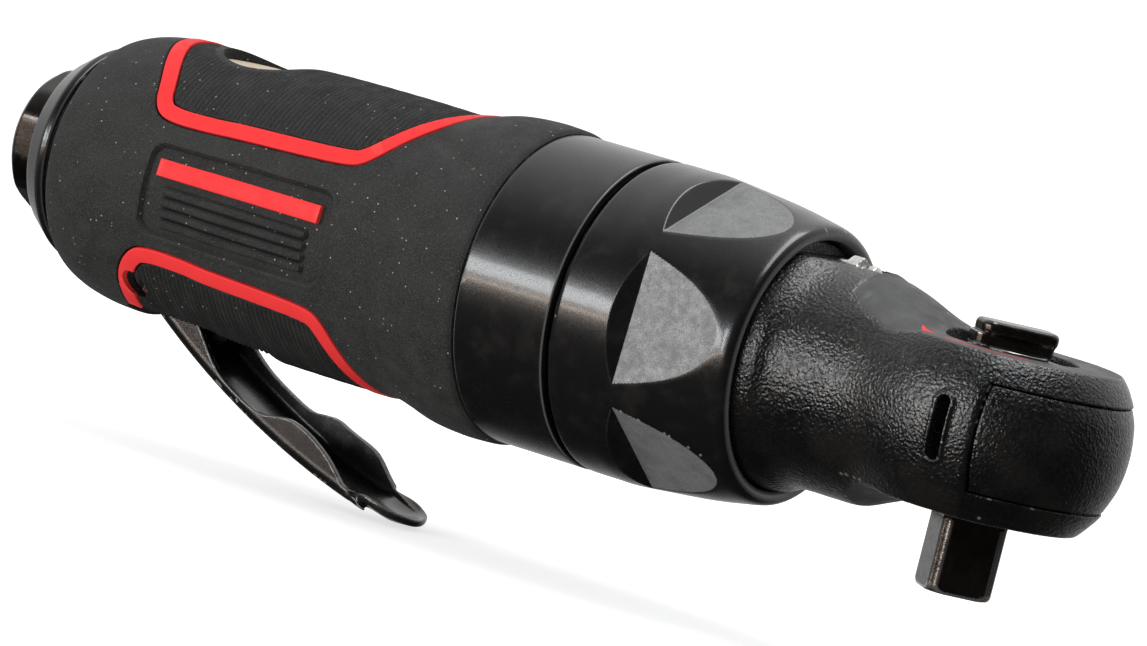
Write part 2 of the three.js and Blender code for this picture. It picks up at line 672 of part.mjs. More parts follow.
function exhaustDeflector() {
  return turnedX(closed([
    [-164.6, 7.3], [-163.6, 7.3], [-163.6, 12.6], [-160, 15.2], [-159.3, 15.9], [-159.3, 16.5],
    [-160.3, 16.8], [-164.3, 14.1], [-164.6, 13.4],
  ]), 24);
}

function inletScreen() {
  const disc = rodX(5, -158.6, -157.9, 0, 0, 16);
  const holes = [rodX(0.9, -160, -156, 0, 0, 6)];
  for (let i = 0; i < 6; i++) {
    const angle = (i * FULL_TURN) / 6;
    holes.push(rodX(0.9, -160, -156, 2.9 * Math.cos(angle), 2.9 * Math.sin(angle), 6));
  }
  return cut(disc, ...holes);
}

function addBody() {
  add("motor_housing", motorHousing(), BLACK_GLOSS);
  add("clamp_collar", clampCollar(), BLACK_GLOSS);
  add("collar_washer", ringX(19.3, 22, -61.5, -61.1, 24), SEAL_RUBBER);
  add("air_inlet", airInlet(), DARK_STEEL);
  add("exhaust_deflector", exhaustDeflector(), DARK_STEEL);
}

// ---------------------------------------------------------------- boot and its trim
const BOOT_PROFILE = [
  [BOOT_REAR_X, 17.2], [-156.8, 18.6], [-155, 19.5], [-152.5, 20.3], [-148.5, 21.05],
  [-129, 21.3], [-124.7, 21.9], [-98.7, 22], [-95.1, 21.7], [-91.7, 22.5],
  [-87.7, 23.7], [-83, 24], [-79, 23.9], [BOOT_FRONT_X, 23.5],
];

const bootRadius = (x) => interpolate(BOOT_PROFILE, x);

// A band laid on the boot along points of [x, angle], where angle 0 faces -Y and 90 degrees is up.
function bootBand(path, width, below, above) {
  const rings = path.map(([x, angle], i) => {
    const before = path[Math.max(i - 1, 0)];
    const after = path[Math.min(i + 1, path.length - 1)];
    const radius = bootRadius(x);
    const along = new THREE.Vector2(after[0] - before[0], degrees(after[1] - before[1]) * radius);
    const across = new THREE.Vector2(-along.y, along.x).normalize().multiplyScalar(width / 2);
    const corner = (side, lift) => {
      const turn = degrees(angle) + (side * across.y) / radius;
      const reach = bootRadius(x + side * across.x) + lift;
      return [x + side * across.x, -reach * Math.cos(turn), reach * Math.sin(turn)];
    };
    return [corner(-1, -below), corner(1, -below), corner(1, above), corner(-1, above)];
  });
  return skin(rings);
}

const mirrored = (path, middle) => [...path].reverse().map(([x, angle]) => [x, 2 * middle - angle]);

// The two red outlines: one over the top of the boot and one round its underside.
const UPPER_TRIM = [
  [-147.2, 90], [-147.2, 76], [-144.5, 60], [-141.2, 44], [-139.7, 34], [-137.3, 29.5],
  [-128, 30], [-115, 31], [-104.5, 32.5], [-102, 35], [-99, 48], [-96, 65], [-94, 80], [-93.7, 90],
];
const LOWER_TRIM = [
  [-142.4, -67], [-141.2, -46], [-138.9, -34.5], [-136.3, -30], [-126, -31], [-115, -32],
  [-106, -33.5], [-103.7, -36.5], [-101.4, -52], [-99.7, -70], [-98.9, -90],
];

function upperTrim(width, below, above) {
  return join(
    bootBand(UPPER_TRIM, width, below, above),
    bootBand(mirrored(UPPER_TRIM, 90), width, below, above),
  );
}

function lowerTrim(width, below, above, overrun = 0) {
  const [[x, angle], ...rest] = LOWER_TRIM;
  const path = [[x, angle - overrun], ...rest];
  return join(
    bootBand(path, width, below, above),
    bootBand(mirrored(path, -90), width, below, above),
  );
}

const PANEL = { x: [-137.2, -103.2], angle: [-20, 17] };
const BAR = { x: [-135.2, -105], angle: 7.5, width: 2.7 };

function sidePath(x, angle, steps = 4) {
  const path = [];
  for (let i = 0; i <= steps; i++) path.push([x[0] + ((x[1] - x[0]) * i) / steps, angle]);
  return path;
}

function panelRecess(side) {
  const middle = (PANEL.angle[0] + PANEL.angle[1]) / 2;
  const width = degrees(PANEL.angle[1] - PANEL.angle[0]) * BODY_RADIUS;
  const band = bootBand(sidePath(PANEL.x, middle), width, 0.7, 3);
  return side < 0 ? band : band.mirror([0, 1, 0]);
}

function accentBar(side, width, below, above) {
  const band = bootBand(sidePath(BAR.x, BAR.angle), width, below, above);
  return side < 0 ? band : band.mirror([0, 1, 0]);
}

const WINDOW = { x: -133.7, radius: 8.1 };

function bootWindow(shrink) {
  return rodZ(WINDOW.radius - shrink, 10, 30, WINDOW.x, 0, 28);
}

function boot() {
  const bore = BODY_RADIUS + GAP;
  const inside = [[BOOT_FRONT_X, bore], [-155.5, bore], [-155.5, 15.9], [BOOT_REAR_X, 15.9]];
  const sleeve = turnedX(closed([...BOOT_PROFILE, ...inside]), 28);
  const bottomSlot = block([-145, -117], [-7.7, 7.7], [-30, -10]);
  return cut(
    sleeve, bottomSlot, pinHoles(1.9), bootWindow(0),
    upperTrim(3.1, 1, 2), lowerTrim(3.1, 1.1, 2, 2.5),
    panelRecess(-1), panelRecess(1),
  );
}

function addBoot() {
  add("boot", boot(), RUBBER);
  add("boot_trim_upper", upperTrim(2.5, 0.7, 0.15), RED_RUBBER);
  add("boot_trim_lower", cut(lowerTrim(2.5, 0.7, 0.15), pinHoles(1.9)), RED_RUBBER);
  add("accent_bar_near", accentBar(-1, BAR.width, 0.4, 0.1), RED_RUBBER);
  add("accent_bar_far", accentBar(1, BAR.width, 0.4, 0.1), RED_RUBBER);
  const plate = ringX(BODY_RADIUS + GAP, BODY_RADIUS + GAP + 0.7, -150, -120, 60);
  add("rating_plate", plate.intersect(bootWindow(0.5)), TAN_PLATE);
}

// ---------------------------------------------------------------- throttle
// The lever's side view is drawn about its pin, with the web along an arc that opens upwards.
const WEB_ARC = { x: 0.5, z: -4.8, slope: degrees(-33), radius: 135 };

function webPoint(length, lift) {
  const slope = WEB_ARC.slope + length / WEB_ARC.radius;
  const x = WEB_ARC.x + WEB_ARC.radius * (Math.sin(slope) - Math.sin(WEB_ARC.slope));
  const z = WEB_ARC.z - WEB_ARC.radius * (Math.cos(slope) - Math.cos(WEB_ARC.slope));
  return [x - lift * Math.sin(slope), z + lift * Math.cos(slope)];
}

function alongWeb(from, to, lift, steps) {
  const points = [];
  for (let i = 0; i <= steps; i++) points.push(webPoint(from + ((to - from) * i) / steps, lift));
  return points;
}

const LEVER_END = 53;

// Each flange's top edge from front to rear, as lengths along the web and heights above it.
const NEAR_CREST = [
  [42.6, 1.2], [40.6, 2.6], [38, 3.9], [34.5, 4.8], [31, 5.1], [28, 4.7], [25.2, 3], [22.9, 2], [13, 1.9],
];
const FAR_CREST = [
  [46.5, 1.9], [44.3, 2.5], [42, 3.5], [39.6, 5], [37.3, 5.9],
  [32, 5.75], [28.9, 5.95], [24.1, 3.6], [13, 3.6],
];

// The sheet in side view, cut in plan to a rounded tongue.
function leverWeb() {
  const outer = alongWeb(-3.5, LEVER_END, 0, 8);
  const inner = alongWeb(-3.5, LEVER_END, LEVER_SHEET, 8).reverse();
  const tip = [webPoint(LEVER_END + 2, 0.9), webPoint(LEVER_END + 2, 2)];
  const strip = prismY([...outer, ...tip, ...inner], -LEVER_HALF_WIDTH, LEVER_HALF_WIDTH);
  const plan = [];
  const end = { x: 44, radius: 6 };
  const steps = 8;
  for (let i = 0; i <= steps; i++) {
    const angle = -RIGHT_ANGLE + (i * 2 * RIGHT_ANGLE) / steps;
    plan.push([end.x + end.radius * Math.cos(angle), end.radius * Math.sin(angle)]);
  }
  plan.push([38, LEVER_HALF_WIDTH], [-8, LEVER_HALF_WIDTH]);
  plan.push([-8, -LEVER_HALF_WIDTH], [38, -LEVER_HALF_WIDTH]);
  return strip.intersect(prismZ(plan, -40, 10));
}

// One flange: low along the web, with an ear near its front end and an eye round the pin.
function leverFlange(side, crest) {
  const eye = [[7.5, -3.6], [3.6, 0.8], [2.4, 2.3], [0, 3.25], [-2.4, 2.1], [-3.4, -0.6]];
  const top = crest.map(([length, height]) => webPoint(length, height));
  const sole = alongWeb(-3.5, crest[0][0], 0, 7);
  const face = side * LEVER_HALF_WIDTH;
  const back = side * (LEVER_HALF_WIDTH - LEVER_SHEET);
  return prismY([...sole, ...top, ...eye], Math.min(face, back), Math.max(face, back));
}

function throttleLever() {
  const pressed = join(leverWeb(), leverFlange(-1, NEAR_CREST), leverFlange(1, FAR_CREST));
  const eye = rodY(1.75, -10, 10, 0, 0, 14);
  return moved(cut(pressed, eye), LEVER_PIN.x, 0, LEVER_PIN.z);
}

const PLUNGER_FOOT_Z = -22.6;
const BALL_Z = 4.35;

function throttlePlunger() {
  const profile = [
    [PLUNGER_FOOT_Z, 0], [PLUNGER_FOOT_Z + 0.25, 1], [PLUNGER_FOOT_Z + 0.9, 1.7],
    [PLUNGER_FOOT_Z + 2, 2], [-4.5, 2], [-4.5, 1.2], [1.05, 1.2], [1.05, 0],
  ];
  return moved(turnedZ(profile, 16), VALVE_X, 0, 0);
}

function addThrottle() {
  add("throttle_lever", throttleLever(), BLACK_GLOSS);
  add("lever_pin", rodY(1.5, -10.4, 10.4, LEVER_PIN.x, LEVER_PIN.z, 16), BRIGHT_STEEL);
  add("throttle_plunger", throttlePlunger(), BEARING_STEEL);
  add("plunger_guide", moved(ringZ(2.3, 4.3, -12, -8.4, 18), VALVE_X, 0, 0), BRONZE);
  const seal = solidOf(new THREE.TorusGeometry(3.2, 0.8, 6, 14).translate(VALVE_X, 0, -7.2));
  add("plunger_o_ring", seal, SEAL_RUBBER);
  add("valve_seat", moved(ringZ(2.2, 4.3, -1, 2, 18), VALVE_X, 0, 0), BRONZE);
  const ball = solidOf(new THREE.IcosahedronGeometry(3, 2));
  add("valve_ball", moved(ball, VALVE_X, 0, BALL_Z), BRIGHT_STEEL);
  const spring = coil(6.2, 2.3, 0.4, 4);
  add("valve_spring", moved(spring.rotate([0, -90, 0]), VALVE_X, 0, BALL_Z + 3.3), BRIGHT_STEEL);
  add("exhaust_silencer", ringX(12.8, 13.9, -161.3, -159.3, 20), FELT);
  add("inlet_screen", inletScreen(), BEARING_STEEL);
}

addHead();
addGreaseFitting();
addCrank();
addMotor();
addBody();
addBoot();
addThrottle();
tool.position.z = -DRIVE_TIP_Z;

export default tool;
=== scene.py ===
"""Looks of an air ratchet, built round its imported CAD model.

Shapes are worked out in millimetres, with x = 0 on the drive axis and z = 0 on the tool's long axis,
and add_mesh() puts them in the model's own frame in metres. Angles round the tool count from the -Y side,
and 90 degrees is up. "Distance" functions are negative inside the solid.
"""

import json
import math

import bpy
import numpy as np
from mathutils import Matrix, Vector


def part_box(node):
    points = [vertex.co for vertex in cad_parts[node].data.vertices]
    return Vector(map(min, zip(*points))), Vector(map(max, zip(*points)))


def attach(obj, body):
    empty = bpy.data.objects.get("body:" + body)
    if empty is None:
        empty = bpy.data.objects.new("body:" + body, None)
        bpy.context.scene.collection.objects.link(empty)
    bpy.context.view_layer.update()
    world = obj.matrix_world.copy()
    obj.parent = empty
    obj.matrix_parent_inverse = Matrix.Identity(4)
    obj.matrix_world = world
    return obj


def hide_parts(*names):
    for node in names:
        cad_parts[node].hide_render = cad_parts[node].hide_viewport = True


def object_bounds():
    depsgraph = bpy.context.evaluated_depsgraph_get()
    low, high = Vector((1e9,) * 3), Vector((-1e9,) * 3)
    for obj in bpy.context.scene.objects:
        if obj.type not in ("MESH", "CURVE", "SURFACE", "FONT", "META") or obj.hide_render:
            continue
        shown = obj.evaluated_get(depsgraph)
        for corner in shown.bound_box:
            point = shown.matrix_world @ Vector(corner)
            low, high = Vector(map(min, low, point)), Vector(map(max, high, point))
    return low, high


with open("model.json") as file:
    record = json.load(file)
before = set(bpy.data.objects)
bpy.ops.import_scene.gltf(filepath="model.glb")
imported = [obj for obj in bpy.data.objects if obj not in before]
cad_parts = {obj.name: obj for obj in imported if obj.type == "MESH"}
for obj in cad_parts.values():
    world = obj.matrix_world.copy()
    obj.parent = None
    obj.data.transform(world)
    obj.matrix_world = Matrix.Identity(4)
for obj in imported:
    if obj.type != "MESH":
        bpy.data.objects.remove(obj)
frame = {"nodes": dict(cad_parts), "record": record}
cad_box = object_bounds()

MM = 0.001
COARSE = 1.0  # coarser grids while trying things out


def centre(node):
    low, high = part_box(node)
    return (low + high) / 2 / MM


AXIS_Z = centre("crank_bearing").z
DRIVE_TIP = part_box("drive_anvil")[0].z / MM - AXIS_Z
BOOT_REAR, BOOT_FRONT = (corner.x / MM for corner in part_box("boot"))
LEVER_PIN = (centre("lever_pin").x, centre("lever_pin").z - AXIS_Z)
VALVE_X = centre("valve_ball").x
WINDOW_X = centre("rating_plate").x
GREASE_Z = centre("grease_fitting").z - AXIS_Z

DRIVE_SQUARE = 9.525
DRIVE_TURN = math.radians(44)
BALL_Z = DRIVE_TIP + 6  # the socket ball's seat
HEAD_TOP, HEAD_BOTTOM = 11.0, 12.5  # how far the head's two flats are from the axis
FORK = (-8.5, 7.1)  # floor and ceiling of the head's fork
FORK_EDGE = 7.1  # the x where the housing's sides end and the yoke shows
CRANK_THROW, CRANK_REACH = 1.8, 18
YOKE_SWING = math.asin(CRANK_THROW / CRANK_REACH)
RING_RADIUS = 23.3
BODY_RADIUS = 19.2


# ---------------------------------------------------------------- numbers and curves
def smooth_table(points):
    """A function through (x, y) points, as a Catmull-Rom curve sampled about 400 times."""
    knots = np.array([points[0], *points, points[-1]], float)
    knots[0] = 2 * knots[1] - knots[2]
    knots[-1] = 2 * knots[-2] - knots[-3]
    xs, ys = [], []
    for p0, p1, p2, p3 in zip(knots, knots[1:], knots[2:], knots[3:]):
        slope1 = (p2[1] - p0[1]) / (p2[0] - p0[0])
        slope2 = (p3[1] - p1[1]) / (p3[0] - p1[0])
        width = p2[0] - p1[0]
        t = np.linspace(0, 1, 400 // len(points), endpoint=False)
        hermite = (
            (2 * t**3 - 3 * t**2 + 1) * p1[1] + (t**3 - 2 * t**2 + t) * width * slope1
            + (3 * t**2 - 2 * t**3) * p2[1] + (t**3 - t**2) * width * slope2
        )
        xs.append(p1[0] + t * width)
        ys.append(hermite)
    xs = np.append(np.concatenate(xs), points[-1][0])
    ys = np.append(np.concatenate(ys), points[-1][1])
    return lambda x: np.interp(x, xs, ys)


def line_table(points):
    xs, ys = zip(*points)
    return lambda x: np.interp(x, xs, ys)


def step_between(value, width):
    """0 to 1 as value passes zero, over that width."""
    t = np.clip(value / width + 0.5, 0, 1)
    return t * t * (3 - 2 * t)


def soft_max(a, b, radius):
    closeness = np.maximum(radius - np.abs(a - b), 0) / radius
    return np.maximum(a, b) + closeness * closeness * radius / 4


def soft_min(a, b, radius):
    return -soft_max(-a, -b, radius)


def cut(solid, *tools, radius=0.3):
    for tool in tools:
        solid = soft_max(solid, -tool, radius)
    return solid


def slab(value, low, high):
    return np.abs(value - (low + high) / 2) - (high - low) / 2


def box_distance(x, y, z, xs, ys, zs):
    return np.maximum(np.maximum(slab(x, *xs), slab(y, *ys)), slab(z, *zs))


def rounded_rectangle(u, v, half_u, half_v, radius):
    du = np.abs(u) - half_u + radius
    dv = np.abs(v) - half_v + radius
    outside = np.hypot(np.maximum(du, 0), np.maximum(dv, 0))
    return outside + np.minimum(np.maximum(du, dv), 0) - radius


def segment_distance(u, v, start, end):
    """The squared distance from (u, v) to a straight line between two points."""
    (au, av), (bu, bv) = start, end
    eu, ev = bu - au, bv - av
    share = np.clip(((u - au) * eu + (v - av) * ev) / (eu * eu + ev * ev), 0, 1)
    return (u - au - eu * share) ** 2 + (v - av - ev * share) ** 2


def turned_about_z(x, y, turn):
    """(x, y) seen from axes that are turned by that angle."""
    return x * math.cos(turn) + y * math.sin(turn), -x * math.sin(turn) + y * math.cos(turn)


def polygon_distance(u, v, outline):
    nearest, inside = np.inf, False
    for start, end in zip(outline, [*outline[1:], outline[0]]):
        nearest = np.minimum(nearest, segment_distance(u, v, start, end))
        (au, av), (bu, bv) = start, end
        if av != bv:
            inside ^= ((av <= v) != (bv <= v)) & (u < au + (v - av) * (bu - au) / (bv - av))
    return np.where(inside, -1, 1) * np.sqrt(nearest)


def chaikin(points, rounds, closed):
    """A polyline with its corners cut, again and again, into smooth bends."""
    points = np.array(points, float)
    for _ in range(rounds):
        ahead = np.roll(points, -1, axis=0) if closed else points[1:]
        here = points if closed else points[:-1]
        pairs = np.stack([0.75 * here + 0.25 * ahead, 0.25 * here + 0.75 * ahead], axis=1)
        between = pairs.reshape(-1, points.shape[1])
        points = between if closed else np.vstack([points[:1], between[1:-1], points[-1:]])
    return points


def rounded(profile, radius, steps, closed=True):
    """The profile with each corner turned into a small bend."""
    count = len(profile)
    out = []
    for i, point in enumerate(profile):
        if not closed and i in (0, count - 1):
            out.append(point)
            continue
        here = np.array(point, float)
        before = np.array(profile[i - 1], float) - here
        after = np.array(profile[(i + 1) % count], float) - here
        reach = min(radius, np.linalg.norm(before) * 0.45, np.linalg.norm(after) * 0.45)
        start = here + before / np.linalg.norm(before) * reach
        end = here + after / np.linalg.norm(after) * reach
        for t in np.linspace(0, 1, steps + 1):
            out.append(tuple((1 - t) ** 2 * start + 2 * t * (1 - t) * here + t * t * end))
    return out


# ---------------------------------------------------------------- meshes
def filled_in(profile, step):
    """The profile with its long stretches divided, so that no two points are further apart than step."""
    out = [profile[0]]
    for before, point in zip(profile, profile[1:]):
        parts = max(1, math.ceil(math.dist(before, point) / step))
        out += [tuple(np.array(before) + (np.array(point) - before) * i / parts) for i in range(1, parts + 1)]
    return out


def grid_faces(rows, columns, close_rows):
    """The quads between rings of points, each ring closed on itself."""
    i = np.arange(rows if close_rows else rows - 1)[:, None]
    j = np.arange(columns)[None, :]
    i_next, j_next = (i + 1) % rows, (j + 1) % columns
    corners = [i * columns + j, i_next * columns + j, i_next * columns + j_next, i * columns + j_next]
    return np.stack([c + 0 * (i + j) for c in corners], axis=-1).reshape(-1, 4)


def lofted(rings, closed=False):
    """A skin through equal rings of points; an open one gets a fan of triangles at each end."""
    rings = np.asarray(rings, float)
    count, around = rings.shape[:2]
    points = rings.reshape(-1, 3)
    quads = grid_faces(count, around, closed)
    if closed:
        return points, [quads]
    points = np.vstack([points, rings[0].mean(0), rings[-1].mean(0)])
    j = np.arange(around)
    ahead = (j + 1) % around
    last = (count - 1) * around
    first_fan = np.stack([j, ahead, np.full(around, count * around)], axis=1)
    last_fan = np.stack([last + ahead, last + j, np.full(around, count * around + 1)], axis=1)
    return points, [quads, first_fan, last_fan]


def round_tool(x, radius, angle):
    """Points at that radius and angle round the tool's long axis."""
    x, radius, angle = np.broadcast_arrays(x, radius, angle)
    return np.stack([x, -radius * np.cos(angle), radius * np.sin(angle)], axis=-1)


LONGEST_SPAN = 0.8  # between two points of a turned profile, so that the paler edges (wear and painted highlight) stay on the edges


def turned(profile, segments=160, closed=True, hexagon=None):
    """A profile of (x, radius) turned about the tool's axis; hexagon is across flats, for a nut's sides.
    An open profile starts and ends close to the axis, and is closed there by small fans."""
    angle = np.linspace(0, 2 * math.pi, int(segments / COARSE) // 6 * 6, endpoint=False)
    if closed:
        profile = filled_in([*profile, profile[0]], LONGEST_SPAN)[:-1]
    else:
        profile = filled_in(profile, LONGEST_SPAN)
    x, radius = np.array(profile, float).T
    radius = np.repeat(radius[:, None], len(angle), axis=1)
    if hexagon:
        across = (angle + math.pi / 6) % (math.pi / 3) - math.pi / 6
        flats = hexagon / 2 / np.cos(across)[None, :]
        radius = np.where(radius > hexagon * 0.42, soft_min(radius, flats + 0 * radius, 0.25), radius)
    return lofted(round_tool(x[:, None], radius, angle[None, :]), closed)


def to_z_axis(shape, x=0.0):
    """Stands a shape turned about X up along Z instead, at that x."""
    points, faces = shape
    return points[:, [1, 2, 0]] + (x, 0, 0), faces


def surface_net(low, high, step, distance):
    """The surface where distance(x, y, z) is zero, as quads on a grid, pulled onto the exact surface."""
    step = step * COARSE
    axes = [np.arange(a - 2 * step, b + 3 * step, step) for a, b in zip(low, high)]
    x, y, z = np.meshgrid(*axes, indexing="ij", sparse=True)
    value = np.asarray(distance(x, y, z), np.float32)
    strides = np.array([value.shape[1] * value.shape[2], value.shape[2], 1])
    cells, crossings, quads = [], [], []
    for axis in range(3):
        inner = [slice(1, -1)] * 3
        inner[axis] = slice(0, -1)
        near = value[tuple(inner)]
        inner[axis] = slice(1, None)
        far = value[tuple(inner)]
        edges = np.argwhere((near < 0) != (far < 0))
        start, end = near[tuple(edges.T)], far[tuple(edges.T)]
        u, v = (axis + 1) % 3, (axis + 2) % 3
        edges[:, [u, v]] += 1
        crossing = edges.astype(float)
        crossing[:, axis] += start / (start - end)
        index = edges @ strides
        around = np.stack(
            [index - strides[u] - strides[v], index - strides[v], index, index - strides[u]], axis=1
        )
        quads.append(np.where((start < 0)[:, None], around, around[:, ::-1]))
        cells.append(around.ravel())
        crossings.append(np.repeat(crossing, 4, axis=0))
    used, which = np.unique(np.concatenate(cells), return_inverse=True)
    crossings = np.concatenate(crossings)
    hits = np.bincount(which)
    points = np.stack([np.bincount(which, crossings[:, k]) / hits for k in range(3)], axis=1)
    points = np.array([a[0] for a in axes]) + points * step
    for _ in range(2):
        points = onto_surface(points, distance, step)
    faces = np.searchsorted(used, np.concatenate(quads))
    return points, [faces]


def onto_surface(points, distance, step):
    here = distance(*points.T)
    nudge = 0.05
    slope = np.stack(
        [(distance(*(points + nudge * np.eye(3)[k]).T) - here) / nudge for k in range(3)], axis=1
    )
    steepness = np.maximum((slope * slope).sum(1), 0.25)
    move = -slope * (here / steepness)[:, None]
    length = np.linalg.norm(move, axis=1, keepdims=True)
    return points + move * np.minimum(1, 0.5 * step / np.maximum(length, 1e-9))


def outward(points, faces):
    """The faces, turned round if the solid is inside out."""
    volume = 0.0
    for group in faces:
        a, b, c = (points[group[:, k]] for k in range(3))
        volume += np.einsum("ij,ij->i", a, np.cross(b, c)).sum()
        if group.shape[1] == 4:
            d = points[group[:, 3]]
            volume += np.einsum("ij,ij->i", a, np.cross(c, d)).sum()
    return faces if volume > 0 else [group[:, ::-1] for group in faces]


def steepest(points, distance):
    """Unit normals of a solid given by its distance function."""
    nudge = 0.04
    slope = np.stack([
        distance(*(points + nudge * way).T) - distance(*(points - nudge * way).T) for way in np.eye(3)
    ], axis=1)
    return slope / np.maximum(np.linalg.norm(slope, axis=1, keepdims=True), 1e-9)


def add_mesh(name, shape, finish, body, *nodes, slot, sharp=40, face_finish=None, smooth_by=None):
    """A new piece that rides on a body and stands for CAD nodes. face_finish is (mask of faces, finish).
    smooth_by is the distance function that the shape came from."""
    points, faces = shape
    faces = outward(points, faces)
    mesh = bpy.data.meshes.new(name)
    placed = (points + (0, 0, AXIS_Z)) * MM
    totals = np.concatenate([np.full(len(g), g.shape[1]) for g in faces])
    mesh.vertices.add(len(placed))
    mesh.vertices.foreach_set("co", placed.astype(np.float32).ravel())
    mesh.loops.add(int(totals.sum()))
    mesh.loops.foreach_set("vertex_index", np.concatenate([g.ravel() for g in faces]).astype(np.int32))
    mesh.polygons.add(len(totals))
    mesh.polygons.foreach_set("loop_start", np.concatenate([[0], totals.cumsum()[:-1]]).astype(np.int32))
    mesh.update(calc_edges=True)
    mesh.validate()
    mesh.polygons.foreach_set("use_smooth", np.ones(len(mesh.polygons), bool))
    mesh.set_sharp_from_angle(angle=math.radians(sharp))
    mesh.materials.append(finish)
    if face_finish:
        mask, second = face_finish
        mesh.materials.append(second)
        mesh.polygons.foreach_set("material_index", mask.astype(np.int32))
    if smooth_by:
        mesh.normals_split_custom_set_from_vertices(steepest(points, smooth_by).tolist())
    piece = bpy.data.objects.new(name, mesh)
    bpy.context.scene.collection.objects.link(piece)
    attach(piece, body)
    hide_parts(*nodes)
    return piece


def cutter_object(shape):
    points, faces = shape
    mesh = bpy.data.meshes.new("cutter")
    placed = (points + (0, 0, AXIS_Z)) * MM
    mesh.from_pydata(placed.tolist(), [], [f for g in outward(points, faces) for f in g.tolist()])
    tool = bpy.data.objects.new("cutter", mesh)
    bpy.context.scene.collection.objects.link(tool)
    return tool


def cut_mesh(piece, *shapes):
    """Cuts holes and pockets in a finished mesh piece, and applies them."""
    for shape in shapes:
        tool = cutter_object(shape)
        modifier = piece.modifiers.new("cut", "BOOLEAN")
        modifier.operation = "DIFFERENCE"
        modifier.solver = "EXACT"
        modifier.object = tool
        graph = bpy.context.evaluated_depsgraph_get()
        result = bpy.data.meshes.new_from_object(piece.evaluated_get(graph))
        piece.modifiers.clear()
        old, piece.data = piece.data, result
        bpy.data.meshes.remove(old)
        bpy.data.objects.remove(tool)
    piece.data.set_sharp_from_angle(angle=math.radians(40))


def rod_shape(radius, start, end, sides=48):
    """A plain rod between two points, for cutting."""
    start, end = Vector(start), Vector(end)
    turn = (end - start).to_track_quat("Z", "Y")
    ring = [
        turn @ Vector((radius * math.cos(a), radius * math.sin(a), 0))
        for a in np.linspace(0, 2 * math.pi, sides, endpoint=False)
    ]
    return lofted([[start + p for p in ring], [end + p for p in ring]])


def pin_hole(radius):
    """A cutter along the lever's pin, right through the tool."""
    x, z = LEVER_PIN
    return rod_shape(radius, (x, -24, z), (x, 24, z))


def box_shape(xs, ys, zs, radius=1.2):
    """A block with rounded upright edges, for cutting."""
    outline = [(xs[0], ys[0]), (xs[1], ys[0]), (xs[1], ys[1]), (xs[0], ys[1])]
    ring = rounded(outline, radius, steps=6)
    return lofted([[(x, y, z) for x, y in ring] for z in zs])


# ---------------------------------------------------------------- finishes
class Finish:
    """A procedural material round one Principled shader. Textures read the piece's own place in metres."""

    def __init__(self, name, **sockets):
        self.material = bpy.data.materials.new(name)
        self.material.use_nodes = True
        self.tree = self.material.node_tree
        self.shader = self.tree.nodes["Principled BSDF"]
        for key, value in sockets.items():
            self.shader.inputs[key.replace("_", " ").title().replace("Ior", "IOR")].default_value = value
        self.place = self.add("ShaderNodeTexCoord").outputs["Object"]

    def add(self, kind, settings=(), **inputs):
        node = self.tree.nodes.new(kind)
        for key, value in dict(settings).items():
            setattr(node, key, value)
        for key, value in inputs.items():
            self.feed(node.inputs[key.replace("_", " ")], value)
        return node

    def feed(self, socket, value):
        if isinstance(value, bpy.types.NodeSocket):
            self.tree.links.new(value, socket)
        else:
            socket.default_value = value

    def noise(self, grain, detail, roughness=0.55, stretch=None):
        """Noise whose grain is that many millimetres across, drawn out along an axis by a stretch under 1."""
        place = self.place
        if stretch:
            node = self.add("ShaderNodeMapping", Vector=place)
            node.inputs["Scale"].default_value = stretch
            place = node.outputs["Vector"]
        node = self.add(
            "ShaderNodeTexNoise", Vector=place, Scale=1 / (grain * MM), Detail=detail, Roughness=roughness
        )
        return node.outputs["Fac"]

    def cells(self, size, feature="F1"):
        """Rounded cells of about that many millimetres."""
        settings = {"feature": feature}
        return self.add("ShaderNodeTexVoronoi", settings, Vector=self.place, Scale=1 / (size * MM))

    def remap(self, value, low, high, to_low=0.0, to_high=1.0):
        node = self.add("ShaderNodeMapRange", {"interpolation_type": "SMOOTHSTEP"}, Value=value)
        for key, number in (("From Min", low), ("From Max", high), ("To Min", to_low), ("To Max", to_high)):
            node.inputs[key].default_value = number
        return node.outputs["Result"]

    def maths(self, operation, a, b):
        node = self.add("ShaderNodeMath", {"operation": operation})
        self.feed(node.inputs[0], a)
        self.feed(node.inputs[1], b)
        return node.outputs[0]

    def mixed(self, share, first, second):
        node = self.add("ShaderNodeMix", {"data_type": "RGBA"})
        self.feed(node.inputs["Factor"], share)
        for key, color in (("A", first), ("B", second)):
            socket = next(s for s in node.inputs if s.name == key and s.type == "RGBA")
            self.feed(socket, color if isinstance(color, bpy.types.NodeSocket) else (*color, 1))
        return next(s for s in node.outputs if s.type == "RGBA")

    def edges(self, low, high):
        """1 on outward edges and 0 elsewhere."""
        return self.remap(self.add("ShaderNodeNewGeometry").outputs["Pointiness"], low, high)

    def hollows(self):
        """1 in grooves and inner corners and 0 elsewhere: where painted shade goes."""
        return self.remap(self.add("ShaderNodeNewGeometry").outputs["Pointiness"], 0.42, 0.495, 1.0, 0.0)

    def look(self, color, sheen, sheens, *grains):
        """A colour, a roughness that sheen moves between two numbers, and bumps of (height, millimetres)."""
        return self.finished(color, self.remap(sheen, 0.3, 0.7, *sheens), *grains)

    def finished(self, color, roughness, *grains):
        self.feed(self.shader.inputs["Base Color"], color)
        self.feed(self.shader.inputs["Roughness"], roughness)
        normal = None
        for height, depth in grains:
            node = self.add("ShaderNodeBump", Height=height, Distance=depth * MM)
            if normal:
                self.feed(node.inputs["Normal"], normal)
            normal = node.outputs["Normal"]
        self.feed(self.shader.inputs["Normal"], normal)
        return self.material


